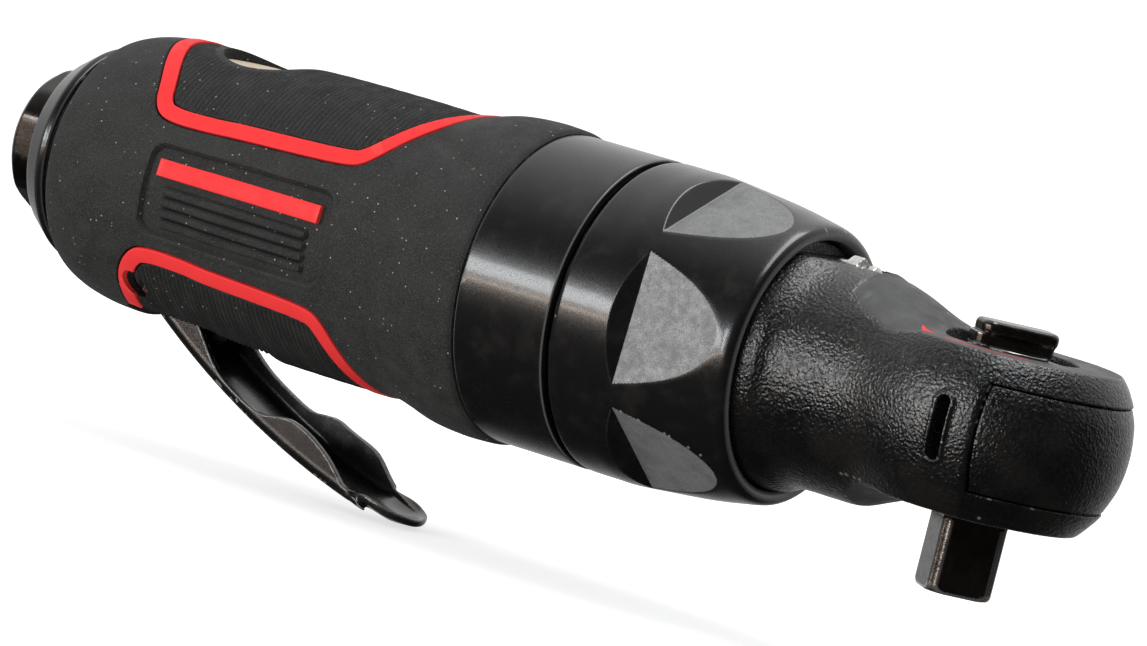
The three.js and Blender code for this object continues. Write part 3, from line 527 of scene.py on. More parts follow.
def wrinkle_finish():
    """Black wrinkle coat on cast steel: fine smooth bumps that sparkle, paler on the edges: partly rubbed,
    partly a painted highlight.
    """
    f = Finish("wrinkle_black", specular_ior_level=0.8)
    coat = f.mixed(f.remap(f.noise(9, 4), 0.35, 0.7), (0.004, 0.004, 0.005), (0.012, 0.0105, 0.009))
    # Paler edges: rubbed coat together with a painted edge highlight.
    color = f.mixed(f.edges(0.545, 0.64), coat, (0.12, 0.12, 0.115))
    bumps = f.cells(0.42, "SMOOTH_F1").outputs["Distance"]
    return f.look(color, f.noise(0.7, 5), (0.16, 0.34), (bumps, 0.12), (f.noise(0.42, 3), 0.13))


def scoop_finish():
    """The smoother coat inside the head's scoops, with a painted highlight as a pale line along their lip."""
    f = Finish("scoop_grey")
    coat = f.mixed(f.noise(0.3, 4), (0.024, 0.026, 0.024), (0.046, 0.048, 0.044))
    # Painted highlight: a pale grey on the scoop's edges.
    color = f.mixed(f.edges(0.53, 0.62), coat, (0.16, 0.16, 0.15))
    return f.look(color, f.noise(3, 4), (0.42, 0.58), (f.noise(0.25, 5), 0.03))


def gloss_finish(name="gloss_black", rub=0.5):
    """Gloss black over turned metal, a little uneven and rubbed in patches, paler on its edges: partly wear,
    partly a painted highlight.
    """
    f = Finish(name, specular_ior_level=0.55, coat_weight=0.25, coat_roughness=0.1)
    patches = f.remap(f.noise(4, 6, 0.6), 0.45, 0.85)
    fine = f.noise(0.16, 4, 0.7)
    rubbed = f.mixed(patches, (0.007, 0.0065, 0.0065), (0.018, 0.0165, 0.015))
    # Paler edges: worn paint together with a painted edge highlight.
    color = f.mixed(f.edges(0.515, 0.56), rubbed, (0.16, 0.155, 0.15))
    worn = f.remap(patches, 0, 1, 0.19, 0.19 + 0.12 * rub)
    roughness = f.maths("ADD", worn, f.remap(fine, 0.3, 0.7, 0.0, 0.12))
    return f.finished(color, roughness, (fine, 0.006), (f.noise(1.8, 3), 0.008))


def sandy_finish():
    """The cut facets of the collar: matt grey with a sandy grain, and a painted highlight on their edges."""
    f = Finish("facet_grey", metallic=0.35)
    grain = f.noise(0.22, 5, 0.7)
    sandy = f.mixed(f.remap(grain, 0.35, 0.65), (0.15, 0.151, 0.152), (0.28, 0.281, 0.282))
    cloudy = f.mixed(f.remap(f.noise(3.5, 3), 0.2, 0.6), (0.16, 0.16, 0.16), sandy)
    # Painted highlight: the facets' edges get a paler grey.
    color = f.mixed(f.edges(0.51, 0.56), cloudy, (0.34, 0.34, 0.335))
    return f.look(color, f.noise(1.2, 4), (0.42, 0.62), (grain, 0.05))


def rubber_finish():
    """Charcoal rubber with painted shade in its grooves and inner corners, and pale dust specks."""
    f = Finish("boot_rubber", specular_ior_level=0.3, sheen_weight=0.03)
    fine = f.noise(0.24, 4, 0.75)
    base = f.mixed(f.remap(f.noise(5, 5), 0.35, 0.7), (0.0125, 0.013, 0.0125), (0.021, 0.0215, 0.0205))
    grainy = f.mixed(f.remap(fine, 0.42, 0.72), base, (0.050, 0.050, 0.047))
    # Painted shade: grooves and inner corners get a near-black colour.
    groove_shade = f.mixed(f.hollows(), grainy, (0.003, 0.003, 0.003))
    specks = f.cells(1.0)
    near = f.remap(specks.outputs["Distance"], 0.17, 0.05)
    chance = f.add("ShaderNodeSeparateColor", Color=specks.outputs["Color"]).outputs[0]
    dusty = f.maths("MULTIPLY", near, f.remap(chance, 0.72, 0.78))
    color = f.mixed(dusty, groove_shade, (0.38, 0.37, 0.34))
    return f.look(color, f.noise(2.5, 4), (0.66, 0.86), (fine, 0.05), (f.noise(0.6, 3), 0.03))


def red_finish():
    """Bright red rubber, a little uneven, paler where rubbed."""
    f = Finish("trim_red", specular_ior_level=0.15)
    uneven = f.mixed(f.noise(4, 4), (0.68, 0.014, 0.018), (0.80, 0.030, 0.033))
    color = f.mixed(f.edges(0.505, 0.56), uneven, (0.85, 0.05, 0.05))
    return f.look(color, f.noise(1.5, 4), (0.45, 0.65), (f.noise(0.2, 4), 0.015))


def dark_steel_finish(name="blackened_steel", bare_and_lit_edges=(0.51, 0.56)):
    """Oiled black steel, brown in the light, paler along its edges: bare steel and a painted edge highlight.
    """
    f = Finish(name, metallic=0.85, coat_weight=0.25, coat_roughness=0.12)
    tone = f.mixed(f.remap(f.noise(5, 4), 0.3, 0.7), (0.016, 0.014, 0.0125), (0.040, 0.033, 0.028))
    # Paler edges: bare steel together with a painted edge highlight.
    color = f.mixed(f.edges(*bare_and_lit_edges), tone, (0.50, 0.48, 0.46))
    return f.look(color, f.noise(0.8, 5, 0.65), (0.14, 0.32), (f.noise(0.3, 4), 0.01))


def bright_steel_finish():
    f = Finish("bright_steel", metallic=1.0)
    color = f.mixed(f.remap(f.noise(0.8, 5, 0.7), 0.35, 0.75), (0.78, 0.77, 0.74), (0.45, 0.44, 0.42))
    return f.look(color, f.noise(0.5, 4), (0.12, 0.32), (f.noise(0.25, 3), 0.006))


def ground_steel_finish():
    """Ground steel with an oil film: gears, shafts and bearings."""
    f = Finish("ground_steel", metallic=1.0)
    color = f.mixed(f.remap(f.noise(3, 4), 0.3, 0.7), (0.36, 0.36, 0.35), (0.58, 0.57, 0.55))
    around = (1, 0.15, 0.15)
    grain = f.noise(0.2, 4, stretch=around)
    return f.look(color, f.noise(0.4, 4, stretch=around), (0.22, 0.42), (grain, 0.006))


def bronze_finish():
    f = Finish("sintered_bronze", metallic=0.9)
    color = f.mixed(f.noise(0.5, 5), (0.34, 0.20, 0.08), (0.55, 0.36, 0.17))
    return f.look(color, f.noise(1, 4), (0.32, 0.52), (f.cells(0.25).outputs["Distance"], 0.01))


def plate_finish():
    """Warm tan lacquered plate."""
    f = Finish("plate_tan", metallic=0.2)
    color = f.mixed(f.noise(3, 5), (0.55, 0.43, 0.30), (0.70, 0.58, 0.44))
    return f.look(color, f.noise(0.6, 4), (0.34, 0.52), (f.noise(0.3, 4), 0.01))


def seal_finish():
    f = Finish("seal_rubber")
    color = f.mixed(f.noise(1, 4), (0.009, 0.009, 0.009), (0.02, 0.02, 0.02))
    return f.look(color, f.noise(0.8, 4), (0.5, 0.72), (f.noise(0.2, 4), 0.01))


def vane_finish():
    """Resin-bonded fibre, laid in sheets."""
    f = Finish("vane_fibre")
    weave = f.noise(0.3, 4, stretch=(0.2, 1, 1))
    color = f.mixed(weave, (0.07, 0.035, 0.018), (0.17, 0.09, 0.045))
    return f.look(color, weave, (0.55, 0.75), (weave, 0.02))


def felt_finish():
    f = Finish("felt_grey", sheen_weight=0.3)
    fuzz = f.noise(0.35, 6, 0.75)
    color = f.mixed(fuzz, (0.09, 0.085, 0.075), (0.24, 0.23, 0.20))
    return f.look(color, fuzz, (0.85, 1.0), (fuzz, 0.12))


GLOSS, SANDY = gloss_finish(), sandy_finish()
LEVER_GLOSS = gloss_finish("lever_black", rub=0.9)
WRINKLE, SCOOP = wrinkle_finish(), scoop_finish()
RUBBER, RED = rubber_finish(), red_finish()
DARK_STEEL = dark_steel_finish()
# The drive's wider edge band paints the bright highlight line along its corners.
DRIVE_STEEL = dark_steel_finish("drive_steel", (0.503, 0.52))
BRIGHT, GROUND = bright_steel_finish(), ground_steel_finish()
PLATE = plate_finish()

SLOT_FINISH = {
    "wrinkle_black": WRINKLE,
    "gloss_black": GLOSS,
    "dark_steel": DARK_STEEL,
    "bright_steel": BRIGHT,
    "bearing_steel": GROUND,
    "rubber": RUBBER,
    "red_rubber": RED,
    "seal_rubber": seal_finish(),
    "plate_tan": PLATE,
    "vane_fibre": vane_finish(),
    "felt": felt_finish(),
    "bronze": bronze_finish(),
}


def finish_cad_nodes():
    """Every CAD node gets its slot's finish and lightly broken edges."""
    for part in frame["record"]["subparts"]:
        node = frame["nodes"][part["node"]]
        node.data.materials.clear()
        node.data.materials.append(SLOT_FINISH[part["material_slot"]])
        edge = node.modifiers.new("broken_edges", "BEVEL")
        edge.width = 0.08 * MM
        edge.segments = 2
        edge.limit_method = "ANGLE"
        edge.angle_limit = math.radians(35)


# ---------------------------------------------------------------- ratchet head
HEAD_BARREL = smooth_table([
    (-15, 12.2), (-13.2, 14.2), (-11.6, 15.7), (-9, 17.6), (-6.2, 18.9), (-3, 19.7), (0, 19.9),
    (3, 19.7), (6.2, 18.9), (9, 17.5), (10.6, 16.3), (12, 14.8), (14, 12),
])
NECK = smooth_table([
    (-48, 18.9), (-44, 18.9), (-40, 18.85), (-37, 18.7), (-35, 18.25), (-32, 18.15), (-30.2, 17.9),
    (-28.4, 17.05), (-26.3, 16.65), (-22, 16.6), (-12, 16.6), (0, 16.6), (4, 16.6),
])
SCOOP_RISE = smooth_table([
    (-25.5, 16), (-24, 9.5), (-23, 6.6), (-21.9, 5.3), (-19.9, 4.85), (-17.3, 4.05), (-14.8, 2.95),
    (-12.3, 1.85), (-9.7, 0.75), (-7, 0.06), (-4, 0), (10, 0), (26, 0),
])
SCOOP_CROWN = line_table([
    (-23, 0.024), (-21.8, 0.029), (-19.2, 0.0288), (-17, 0.0255), (-13.3, 0.018), (-9.7, 0.0068), (-7, 0),
])


def scoop_distance(x, y, z, side, face):
    rise, crown = SCOOP_RISE(x), SCOOP_CROWN(x)
    slope = (SCOOP_RISE(x + 0.1) - rise) / 0.1
    return (side * z - (face + rise - crown * y * y)) / np.sqrt(1 + slope * slope)


SIDE_SLOT = {"x": 2.2, "z": -0.65, "half_height": 3.6, "radius": 0.95}
SPIGOT, CRANK_BORE, BEARING_BORE = 15.9, 8.3, 11.4  # radii round the tool's axis
FORK_ROOM, DISC_RECESS, JOURNAL_BORE = 15.6, 9.7, 8.4  # radii round the drive's axis
PASSAGE_HALF = 11.7  # half the width of the way from the fork back to the crank
GREASE_POCKET = {"x": (-28.9, -22.4), "radius": 2.9}
GREASE_LEDGE = {"x": (-34, -24.9), "z": 16.3}


def side_slot(x, z, grow=0.0):
    """The outline of the upright slot in the head's sides."""
    beyond = np.maximum(np.abs(z - SIDE_SLOT["z"]) - SIDE_SLOT["half_height"], 0)
    return np.hypot(x - SIDE_SLOT["x"], beyond) - SIDE_SLOT["radius"] - grow


def housing_distance(x, y, z):
    around_drive, around_tool = np.hypot(x, y), np.hypot(y, z)
    barrel = around_drive - HEAD_BARREL(z)
    neck = np.maximum(around_tool - NECK(x), slab(x, -47.7, 4))
    body = soft_min(barrel, neck, 4.0)
    rim = np.maximum(np.abs(side_slot(x, z, 0.2)) - 0.3, barrel - 0.35)
    body = soft_min(body, rim + 0 * body, 0.5)
    spigot = np.maximum(around_tool - SPIGOT, slab(x, -59.8, -40))
    body = np.minimum(body, spigot)
    for side, face in ((1, HEAD_TOP), (-1, HEAD_BOTTOM)):
        body = soft_max(body, scoop_distance(x, y, z, side, face), 0.35)
    passage = np.maximum(slab(x, -24.5, 0), np.abs(y) - PASSAGE_HALF)
    opening = np.minimum(np.minimum(FORK_EDGE - x, around_drive - FORK_ROOM), passage)
    fork = np.maximum(slab(z, *FORK), opening)
    recess = np.maximum(around_drive - DISC_RECESS, FORK[1] - 1 - z)
    journal = np.maximum(around_drive - JOURNAL_BORE, z - FORK[0] - 1)
    slot = np.maximum(side_slot(x, z), 12 - np.abs(y))
    around_fitting = np.hypot(y, z - GREASE_Z)
    pocket = np.maximum(around_fitting - GREASE_POCKET["radius"], slab(x, *GREASE_POCKET["x"]))
    ledge = np.maximum(GREASE_LEDGE["z"] - z, slab(x, *GREASE_LEDGE["x"]))
    crank_bore = np.maximum(around_tool - CRANK_BORE, x + 24)
    bearing_bore = np.maximum(around_tool - BEARING_BORE, x + 45.5)
    body = cut(body, fork, recess, journal, pocket, ledge, radius=0.35)
    return cut(body, slot, crank_bore, bearing_bore, radius=0.3)


YOKE_LOBE = smooth_table([
    (-9.4, 17.2), (-8.2, 17.8), (-4.4, 19.2), (0, 19.7), (4.4, 19.25), (6.8, 18.4), (8, 17.9),
])
YOKE_TEETH, TOOTH_CIRCLE, TOOTH_HALF_HEIGHT = 24, 10.45, 0.45
YOKE_GAP = 0.14  # over and under the yoke in the fork
SEAM_GAP = 0.2  # between the housing's sides and the yoke's front


def yoke_distance(x, y, z):
    around = np.hypot(x, y)
    height = slab(z, FORK[0] + YOKE_GAP, FORK[1] - YOKE_GAP)
    front = FORK_EDGE + SEAM_GAP - x
    front_at_limit = FORK_EDGE + SEAM_GAP - turned_about_z(x, y, -2 * YOKE_SWING)[0]
    lobe = soft_max(soft_max(around - YOKE_LOBE(z), front, 0.5), front_at_limit, 0.5)
    turned_x, turned_y = turned_about_z(x, y, -YOKE_SWING)
    arms = np.maximum(slab(turned_x, -21.2, -6), np.abs(turned_y) - 9.1)
    fork_slot = np.maximum(turned_x + 13.4, np.abs(turned_y) - 6.7)
    tooth = TOOTH_CIRCLE + TOOTH_HALF_HEIGHT * np.cos(YOKE_TEETH * np.arctan2(y, x))
    body = soft_min(np.minimum(around - 15.1, lobe), arms, 0.5)
    return cut(soft_max(body, height, 0.4), fork_slot + 0 * z, around - tooth + 0 * z)


def scoop_faces(shape):
    """True for the faces of the two scoops and of the head's flats in front of them."""
    points, (faces,) = shape
    x, y, z = points[faces].mean(1).T
    close = 0.05
    upper = np.abs(scoop_distance(x, y, z, 1, HEAD_TOP)) < close
    lower = np.abs(scoop_distance(x, y, z, -1, HEAD_BOTTOM)) < close
    return (upper | lower) & (x > GREASE_POCKET["x"][1]) & (x < 16)


MARK_RADIUS, MARK_HALF_WIDTH = 13.3, 0.26


def mark_section(degrees_round, half_width):
    """Four corners across the red mark, sunk a little into the head's top."""
    turn = math.radians(degrees_round)
    corners = []
    for side, lift in ((-1, -0.05), (1, -0.05), (1, 0.03), (-1, 0.03)):
        reach = MARK_RADIUS + side * half_width
        x, y = reach * math.cos(turn), reach * math.sin(turn)
        corners.append((x, y, HEAD_TOP + SCOOP_RISE(x) - SCOOP_CROWN(x) * y * y + lift))
    return corners


def add_turn_mark():
    """A thin red arc and an arrowhead, printed on the near side of the head's top."""
    head = zip(np.linspace(-141, -126, 16), np.linspace(0.05, 0.85, 16))
    shaft = [(place, MARK_HALF_WIDTH) for place in (-125.9, *np.linspace(-125, -119, 8))]
    arc = [(place, MARK_HALF_WIDTH) for place in np.linspace(-108, -51, 90)]
    for name, line in (("turn_arrow", [*head, *shaft]), ("turn_arc", arc)):
        shape = lofted([mark_section(*place) for place in line])
        add_mesh(name, shape, RED, "housing", "ratchet_housing", slot="red_rubber")


def add_head():
    shape = surface_net((-59.8, -20.3, -20.3), (20.4, 20.3, 19.2), 0.3, housing_distance)
    add_mesh("head_casting", shape, WRINKLE, "housing", "ratchet_housing", slot="wrinkle_black",
             face_finish=(scoop_faces(shape), SCOOP), smooth_by=housing_distance)
    shape = surface_net((-21.5, -20, -8.6), (20, 20, 7.2), 0.28, yoke_distance)
    add_mesh("yoke_casting", shape, WRINKLE, "yoke", "yoke", slot="wrinkle_black", smooth_by=yoke_distance)
    add_turn_mark()


# ---------------------------------------------------------------- drive, knob and their rings
def anvil_distance(x, y, z):
    around = np.hypot(x, y)
    u, v = turned_about_z(x, y, DRIVE_TURN)
    chamfer = 0.95
    flats = np.maximum(np.abs(u), np.abs(v)) - DRIVE_SQUARE / 2
    corners = (np.abs(u) + np.abs(v)) / math.sqrt(2) - (DRIVE_SQUARE - chamfer) / math.sqrt(2)
    square = soft_max(soft_max(flats, corners, 0.3), slab(z, DRIVE_TIP, -10), 0.4)
    square = soft_max(square, (around - 5.4 - (z - DRIVE_TIP)) / math.sqrt(2), 0.3)
    journal = soft_max(around - 8.1, slab(z, -13.3, 0), 0.5)
    flange = np.maximum(around - 9.4, slab(z, -8.2, 8))
    boss = np.maximum(around - 5.3, slab(z, 0, 9.8))
    body = soft_min(square, np.minimum(np.minimum(journal, flange), boss), 0.5)
    seat = np.maximum(np.hypot(u, z - BALL_Z) - 1.9, 1.2 - v)
    pawl_room = box_distance(x, y, z, (3.3, 12), (-8.6, 8.6), (-7, 5))
    stem = np.maximum(around - 3.5, -7 - z)
    pin = np.maximum(np.hypot(x - 5.9, y) - 1.8, slab(z, -7.8, 7.2))
    return cut(body, seat, pawl_room, stem, pin, radius=0.25)


KNOB_TURN = math.radians(47)


def knob_distance(x, y, z):
    around = np.hypot(x, y)
    u, v = turned_about_z(x, y, KNOB_TURN)
    upper = soft_max(rounded_rectangle(u, v, 5.8, 3.1, 1.8), slab(z, 12.4, 14.5), 0.9)
    lower = soft_max(rounded_rectangle(u + 0.5, v, 6.0, 2.7, 1.5), slab(z, 10.8, 12.7), 0.3)
    disc = soft_max(around - 5.2, slab(z, 10.15, 11), 0.3)
    stem = soft_max(around - 3.2, slab(z, -6.6, 10.6), 0.4)
    rail = (x - y) / math.sqrt(2)
    across = (x + y) / math.sqrt(2)
    pocket = np.maximum(np.hypot(across, z + 1) - 1.35, -2.5 - rail)
    return cut(soft_min(soft_min(upper, lower, 0.3), soft_min(disc, stem, 0.3), 0.3), pocket)


def arc_ring(inner, outer, low, high, gap):
    """A flat ring about Z with a gap centred on +X, its section slightly rounded."""
    section = rounded([(inner, low), (outer, low), (outer, high), (inner, high)], 0.15, 2)
    angles = np.linspace(gap, 2 * math.pi - gap, 150)
    return lofted([[(r * math.cos(a), r * math.sin(a), z) for r, z in section] for a in angles])


def ball_shape(radius, place):
    quarter = np.linspace(-math.pi / 2, math.pi / 2, 24)[1:-1]
    points, faces = turned([(radius * math.sin(t), radius * math.cos(t)) for t in quarter], 48, closed=False)
    return points + place, faces


def add_drive():
    shape = surface_net((-9.6, -9.6, DRIVE_TIP), (9.6, 9.6, 9.9), 0.19, anvil_distance)
    add_mesh("drive_anvil_body", shape, DRIVE_STEEL, "anvil", "drive_anvil", slot="dark_steel",
             smooth_by=anvil_distance)
    shape = surface_net((-6, -6, -6.7), (6, 6, 14.6), 0.17, knob_distance)
    add_mesh("reverse_knob_body", shape, DARK_STEEL, "selector", "reverse_knob", slot="dark_steel",
             smooth_by=knob_distance)
    circlip = arc_ring(inner=7.9, outer=9.4, low=9.3, high=10.1, gap=0.19)
    add_mesh("circlip", circlip, BRIGHT, "housing", "retaining_ring", slot="bright_steel")
    washer = to_z_axis(turned(rounded([(8.3, 5.6), (9, 5.6), (9, 9.4), (8.3, 9.4)], 0.12, 2)))
    add_mesh("washer", washer, GROUND, "anvil", "thrust_washer", slot="bearing_steel")
    place = centre("socket_ball") - Vector((0, 0, AXIS_Z))
    ball = ball_shape(1.6, tuple(place))
    add_mesh("detent_ball", ball, BRIGHT, "anvil", "socket_ball", slot="bright_steel")


# ---------------------------------------------------------------- grease fitting
def add_grease_fitting():
    profile = [
        (-30.6, 0.05), (-30.6, 1.6), (-28.55, 1.6), (-28.55, 2.55), (-26.65, 2.55), (-26.65, 1.2),
        (-25.8, 1.2), (-25.3, 1.75), (-24.3, 1.75), (-23.7, 1.2), (-23.6, 0.7), (-24.1, 0.3), (-24.1, 0.05),
    ]
    points, faces = turned(rounded(profile, 0.18, 3, closed=False), 96, closed=False, hexagon=4.5)
    shape = points + (0, 0, GREASE_Z), faces
    add_mesh("grease_nipple", shape, BRIGHT, "housing", "grease_fitting", slot="bright_steel")


# ---------------------------------------------------------------- clamp collar
COLLAR_PROFILE = smooth_table([
    (-60.8, 22.85), (-60.4, 23.2), (-59.8, RING_RADIUS), (-56, RING_RADIUS), (-53, RING_RADIUS), (-48, 22.85),
    (-42.1, 22.25), (-38.5, 21.75), (-35.7, 21.25), (-33.6, 20.85), (-32.7, 20.5), (-32.25, 20.0),
    (-32.1, 19.6), (-32.05, 19.3),
])
COLLAR_REAR, COLLAR_FRONT = -60.8, -32.1
SCALLOPS = 6
SCALLOP_TURN = math.radians(4.5)
SCALLOP_CORNER = -49.6  # the x where a scallop's steep rear face meets its long floor
SCALLOP_FLOOR = line_table([(-53, 26), (-52, 23.6), (SCALLOP_CORNER, 20.75), (-34, 21.1), (-33, 21.12)])


def scallop_radius(x, angle):
    pitch = 2 * math.pi / SCALLOPS
    off_centre = (angle - SCALLOP_TURN + pitch / 2) % pitch - pitch / 2
    return SCALLOP_FLOOR(x) / np.cos(off_centre)


def add_collar():
    x = np.arange(COLLAR_REAR, COLLAR_FRONT, 0.14 * COARSE)
    x = np.append(x, COLLAR_FRONT + 0.03)[:, None]
    angle = np.linspace(-math.pi, math.pi, int(960 / COARSE), endpoint=False)[None, :]
    plain, scallop = COLLAR_PROFILE(x) + 0 * angle, scallop_radius(x, angle)
    outside = round_tool(x, soft_min(plain, scallop, 0.22), angle)
    inside = [
        (-32.3, 18.75), (-32.8, 18.5), (-36.2, 18.5), (-36.2, 19.3), (-60.6, 19.3), (COLLAR_REAR, 19.5),
        (COLLAR_REAR, 22.6),
    ]
    bore = [round_tool(a, r, angle[0]) for a, r in inside]
    shape = lofted([*outside, *bore], closed=True)
    points, (faces,) = shape
    cut_away = np.zeros((len(outside) + len(bore), angle.shape[1]), bool)
    cut_away[: len(x) - 1] = (scallop < plain - 0.06)[:-1]
    floors = cut_away.ravel() & (points[faces].mean(1)[:, 0] > SCALLOP_CORNER)
    add_mesh("clamp_collar_shell", shape, GLOSS, "housing", "clamp_collar", slot="gloss_black", sharp=60,
             face_finish=(floors, SANDY))


# ---------------------------------------------------------------- motor housing and rear end
EXHAUST_CIRCLE = 13.6  # how far the four exhaust bores are from the tool's axis
EXHAUST_BORE, PIN_BORE, VALVE_BORE = 1.5, 1.8, 4.6  # radii


def add_motor_housing():
    rear, ring_rear, ring_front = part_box("motor_housing")[0].x / MM, -77.4, -61.8
    profile = rounded([
        (rear, 7.2), (rear, 12.5), (-159, 12.5), (-159, 15.6), (-155.2, 15.6), (-155.2, BODY_RADIUS),
        (ring_rear, BODY_RADIUS), (ring_rear, RING_RADIUS), (ring_front, RING_RADIUS), (ring_front, 19),
        (-48, 19), (-48, 16.2), (-119, 16.2), (-119, 3.2), (-150.2, 3.2), (-150.2, 7.2),
    ], 0.3, 3)
    shape = turned(profile, 288)
    piece = add_mesh("motor_case", shape, GLOSS, "housing", "motor_housing", slot="gloss_black")
    exhausts = []
    for turn in map(math.radians, (35, 145, 215, 325)):
        y, z = EXHAUST_CIRCLE * math.cos(turn), EXHAUST_CIRCLE * math.sin(turn)
        exhausts.append(rod_shape(EXHAUST_BORE, (-165, y, z), (-118, y, z), 24))
    cut_mesh(
        piece,
        box_shape((-146, -121), (-7.4, 7.4), (-26, -12.3)),
        pin_hole(PIN_BORE),
        rod_shape(VALVE_BORE, (VALVE_X, 0, -14), (VALVE_X, 0, 14.2)),
        *exhausts,
    )


THREAD_PITCH = 1.3


def add_rear_end():
    outside = [
        (-171, 6.6), (-171, 9.5), (-169.5, 11.2), (-165.5, 11.2), (-164.9, 10.5), (-164.9, 6.9),
        (-150.6, 6.9), (-150.6, 4), (-157.3, 4), (-157.6, 5.5),
    ]
    thread = []
    for i in range(9):
        start, bore = -158.8 - i * THREAD_PITCH, 5.72 + 0.066 * i
        groove = (0, 0), (0.45, 0.5), (0.65, 0.5), (1.1, 0.05)
        thread += [(start - back, bore + deep) for back, deep in groove]
    shape = turned(rounded([*outside, *thread], 0.28, 3), 240, hexagon=21.3)
    add_mesh("inlet_bushing", shape, DARK_STEEL, "housing", "air_inlet", slot="dark_steel")
    deflector = rounded([
        (-164.6, 7.3), (-163.6, 7.3), (-163.6, 12.6), (-160, 15.2), (-159.3, 15.9), (-159.3, 16.5),
        (-160.3, 16.8), (-164.3, 14.1), (-164.6, 13.4),
    ], 0.35, 3)
    shape = turned(deflector, 240)
    add_mesh("deflector_ring", shape, GLOSS, "housing", "exhaust_deflector", slot="dark_steel")


# ---------------------------------------------------------------- boot
BOOT_PROFILE = smooth_table([
    (BOOT_REAR, 17.1), (-157.3, 18.0), (-156.5, 18.85), (-155, 19.6), (-152.5, 20.35), (-148.5, 20.95),
    (-142, 21.15), (-129, 21.35), (-124.7, 21.75), (-118, 21.95), (-106, 22), (-98.7, 21.9), (-95.1, 21.9),
    (-91.7, 22.6), (-87.7, 23.6), (-83, 24), (-79.2, 23.9), (-78.2, 23.75), (BOOT_FRONT, 23.35),
])
ARC_RADIUS = 21.5  # turns degrees round the boot into millimetres
UPPER_TRIM = [
    (-147.2, 90), (-147.2, 76), (-144.5, 60), (-141.2, 44), (-139.7, 34), (-137.3, 29.5), (-128, 30),
    (-115, 31), (-104.5, 32.5), (-102, 35), (-99, 48), (-96, 65), (-94, 80), (-93.7, 90),
]
LOWER_TRIM = [
    (-142.4, -67), (-141.2, -46), (-138.9, -34.5), (-136.3, -30), (-126, -31), (-115, -32),
    (-106, -33.5), (-103.7, -36.5), (-101.4, -52), (-99.7, -70), (-98.9, -90),
]
TRIM_WIDTH = 2.5
TRIM_SPACING = 0.45
RIB_PITCH = 0.85
WINDOW_RADIUS = 8.1
PANEL = {"x": (-137.2, -103.2), "angle": (-20, 17)}
BAR = {"x": (-135.2, -105), "angle": 7.5, "width": 2.7}
PANEL_DEPTH = 0.85
PANEL_RIB_ANGLES = (-1.5, -6, -10.5, -15)  # the plain raised ribs below the bar
PANEL_RIB = {"half_length": 13.6, "half_width": 0.6, "corner": 0.5, "height": 0.7}
BOOT_PIN_BORE = 1.9
CREASE = ((-96.0, 30), (-83.0, 54))  # (x, degrees down from the top) of the valley's two ends


def both_halves(path, middle):
    return [*path, *[(x, 2 * middle - angle) for x, angle in reversed(path[:-1])]]


def trim_path(path, middle, closed):
    """Evenly spaced (x, arc) points along a trim, in millimetres, with its corners rounded."""
    whole = np.array(both_halves(path, middle), float)
    if closed:
        whole = whole[:-1]
    whole[:, 1] = np.radians(whole[:, 1]) * ARC_RADIUS
    bent = chaikin(whole, 3, closed)
    if closed:
        bent = np.vstack([bent, bent[:1]])
    along = np.concatenate([[0], np.linalg.norm(np.diff(bent, axis=0), axis=1).cumsum()])
    stops = np.linspace(0, along[-1], int(along[-1] / TRIM_SPACING))
    even = np.stack([np.interp(stops, along, bent[:, k]) for k in range(2)], axis=1)
    return even[:-1] if closed else even


def path_distance(x, arc, path, closed):
    """The distance to a finely divided path, taken over every second point of it."""
    ahead = np.roll(path, -1, axis=0) if closed else path[1:]
    here = path if closed else path[:-1]
    ends = ahead[1::2] if len(ahead) % 2 == 0 else [*ahead[1::2], ahead[-1]]
    nearest = np.inf
    for start, end in zip(here[::2], ends):
        nearest = np.minimum(nearest, segment_distance(x, arc, start, end))
    return np.sqrt(nearest)


def folded(angle):
    """The same place on the near side, for what is alike on both sides."""
    return np.where(np.abs(angle) > 90, np.sign(angle) * 180 - angle, angle)


def panel_distance(x, angle):
    half_x = (PANEL["x"][1] - PANEL["x"][0]) / 2
    middle_x = sum(PANEL["x"]) / 2
    half_arc = math.radians(PANEL["angle"][1] - PANEL["angle"][0]) / 2 * ARC_RADIUS
    arc = np.radians(folded(angle) - sum(PANEL["angle"]) / 2) * ARC_RADIUS
    return rounded_rectangle(x - middle_x, arc, half_x, half_arc, 2.2)


def boot_radius(x, angle, upper, lower):
    """The boot's outer radius with its panels, ribs, trim grooves and window."""
    arc = np.radians(angle) * ARC_RADIUS
    radius = BOOT_PROFILE(x) + 0 * angle
    ribs = 0.5 + 0.5 * np.cos(2 * math.pi * x / RIB_PITCH)
    from_window = np.hypot(x - WINDOW_X, radius * np.cos(np.radians(angle))) - WINDOW_RADIUS
    ribs = ribs * np.where(angle > 0, step_between(from_window - 1.1, 0.6), 1)
    for path, closed in ((upper, True), (lower, False)):
        away = path_distance(x, arc, path, closed)
        inside = polygon_distance(x, arc, [tuple(p) for p in path[::3]]) < 0
        radius -= 0.30 * ribs * inside * step_between(away - TRIM_WIDTH / 2 - 0.35, 0.5)
        radius -= 0.95 * step_between(TRIM_WIDTH / 2 + 0.2 - away, 0.25)
    panel = panel_distance(x, angle)
    radius += 0.12 * step_between(0.55 - np.abs(panel - 0.35), 0.4)
    radius -= PANEL_DEPTH * step_between(-panel, 0.35)
    radius -= crease_depth(x, angle)
    half_length, half_width = PANEL_RIB["half_length"], PANEL_RIB["half_width"]
    for middle in PANEL_RIB_ANGLES:
        arc_off = np.radians(folded(angle) - middle) * ARC_RADIUS
        along = x - sum(BAR["x"]) / 2
        rib = rounded_rectangle(along, arc_off, half_length, half_width, PANEL_RIB["corner"])
        radius += PANEL_RIB["height"] * step_between(-rib, 0.35)
    return radius


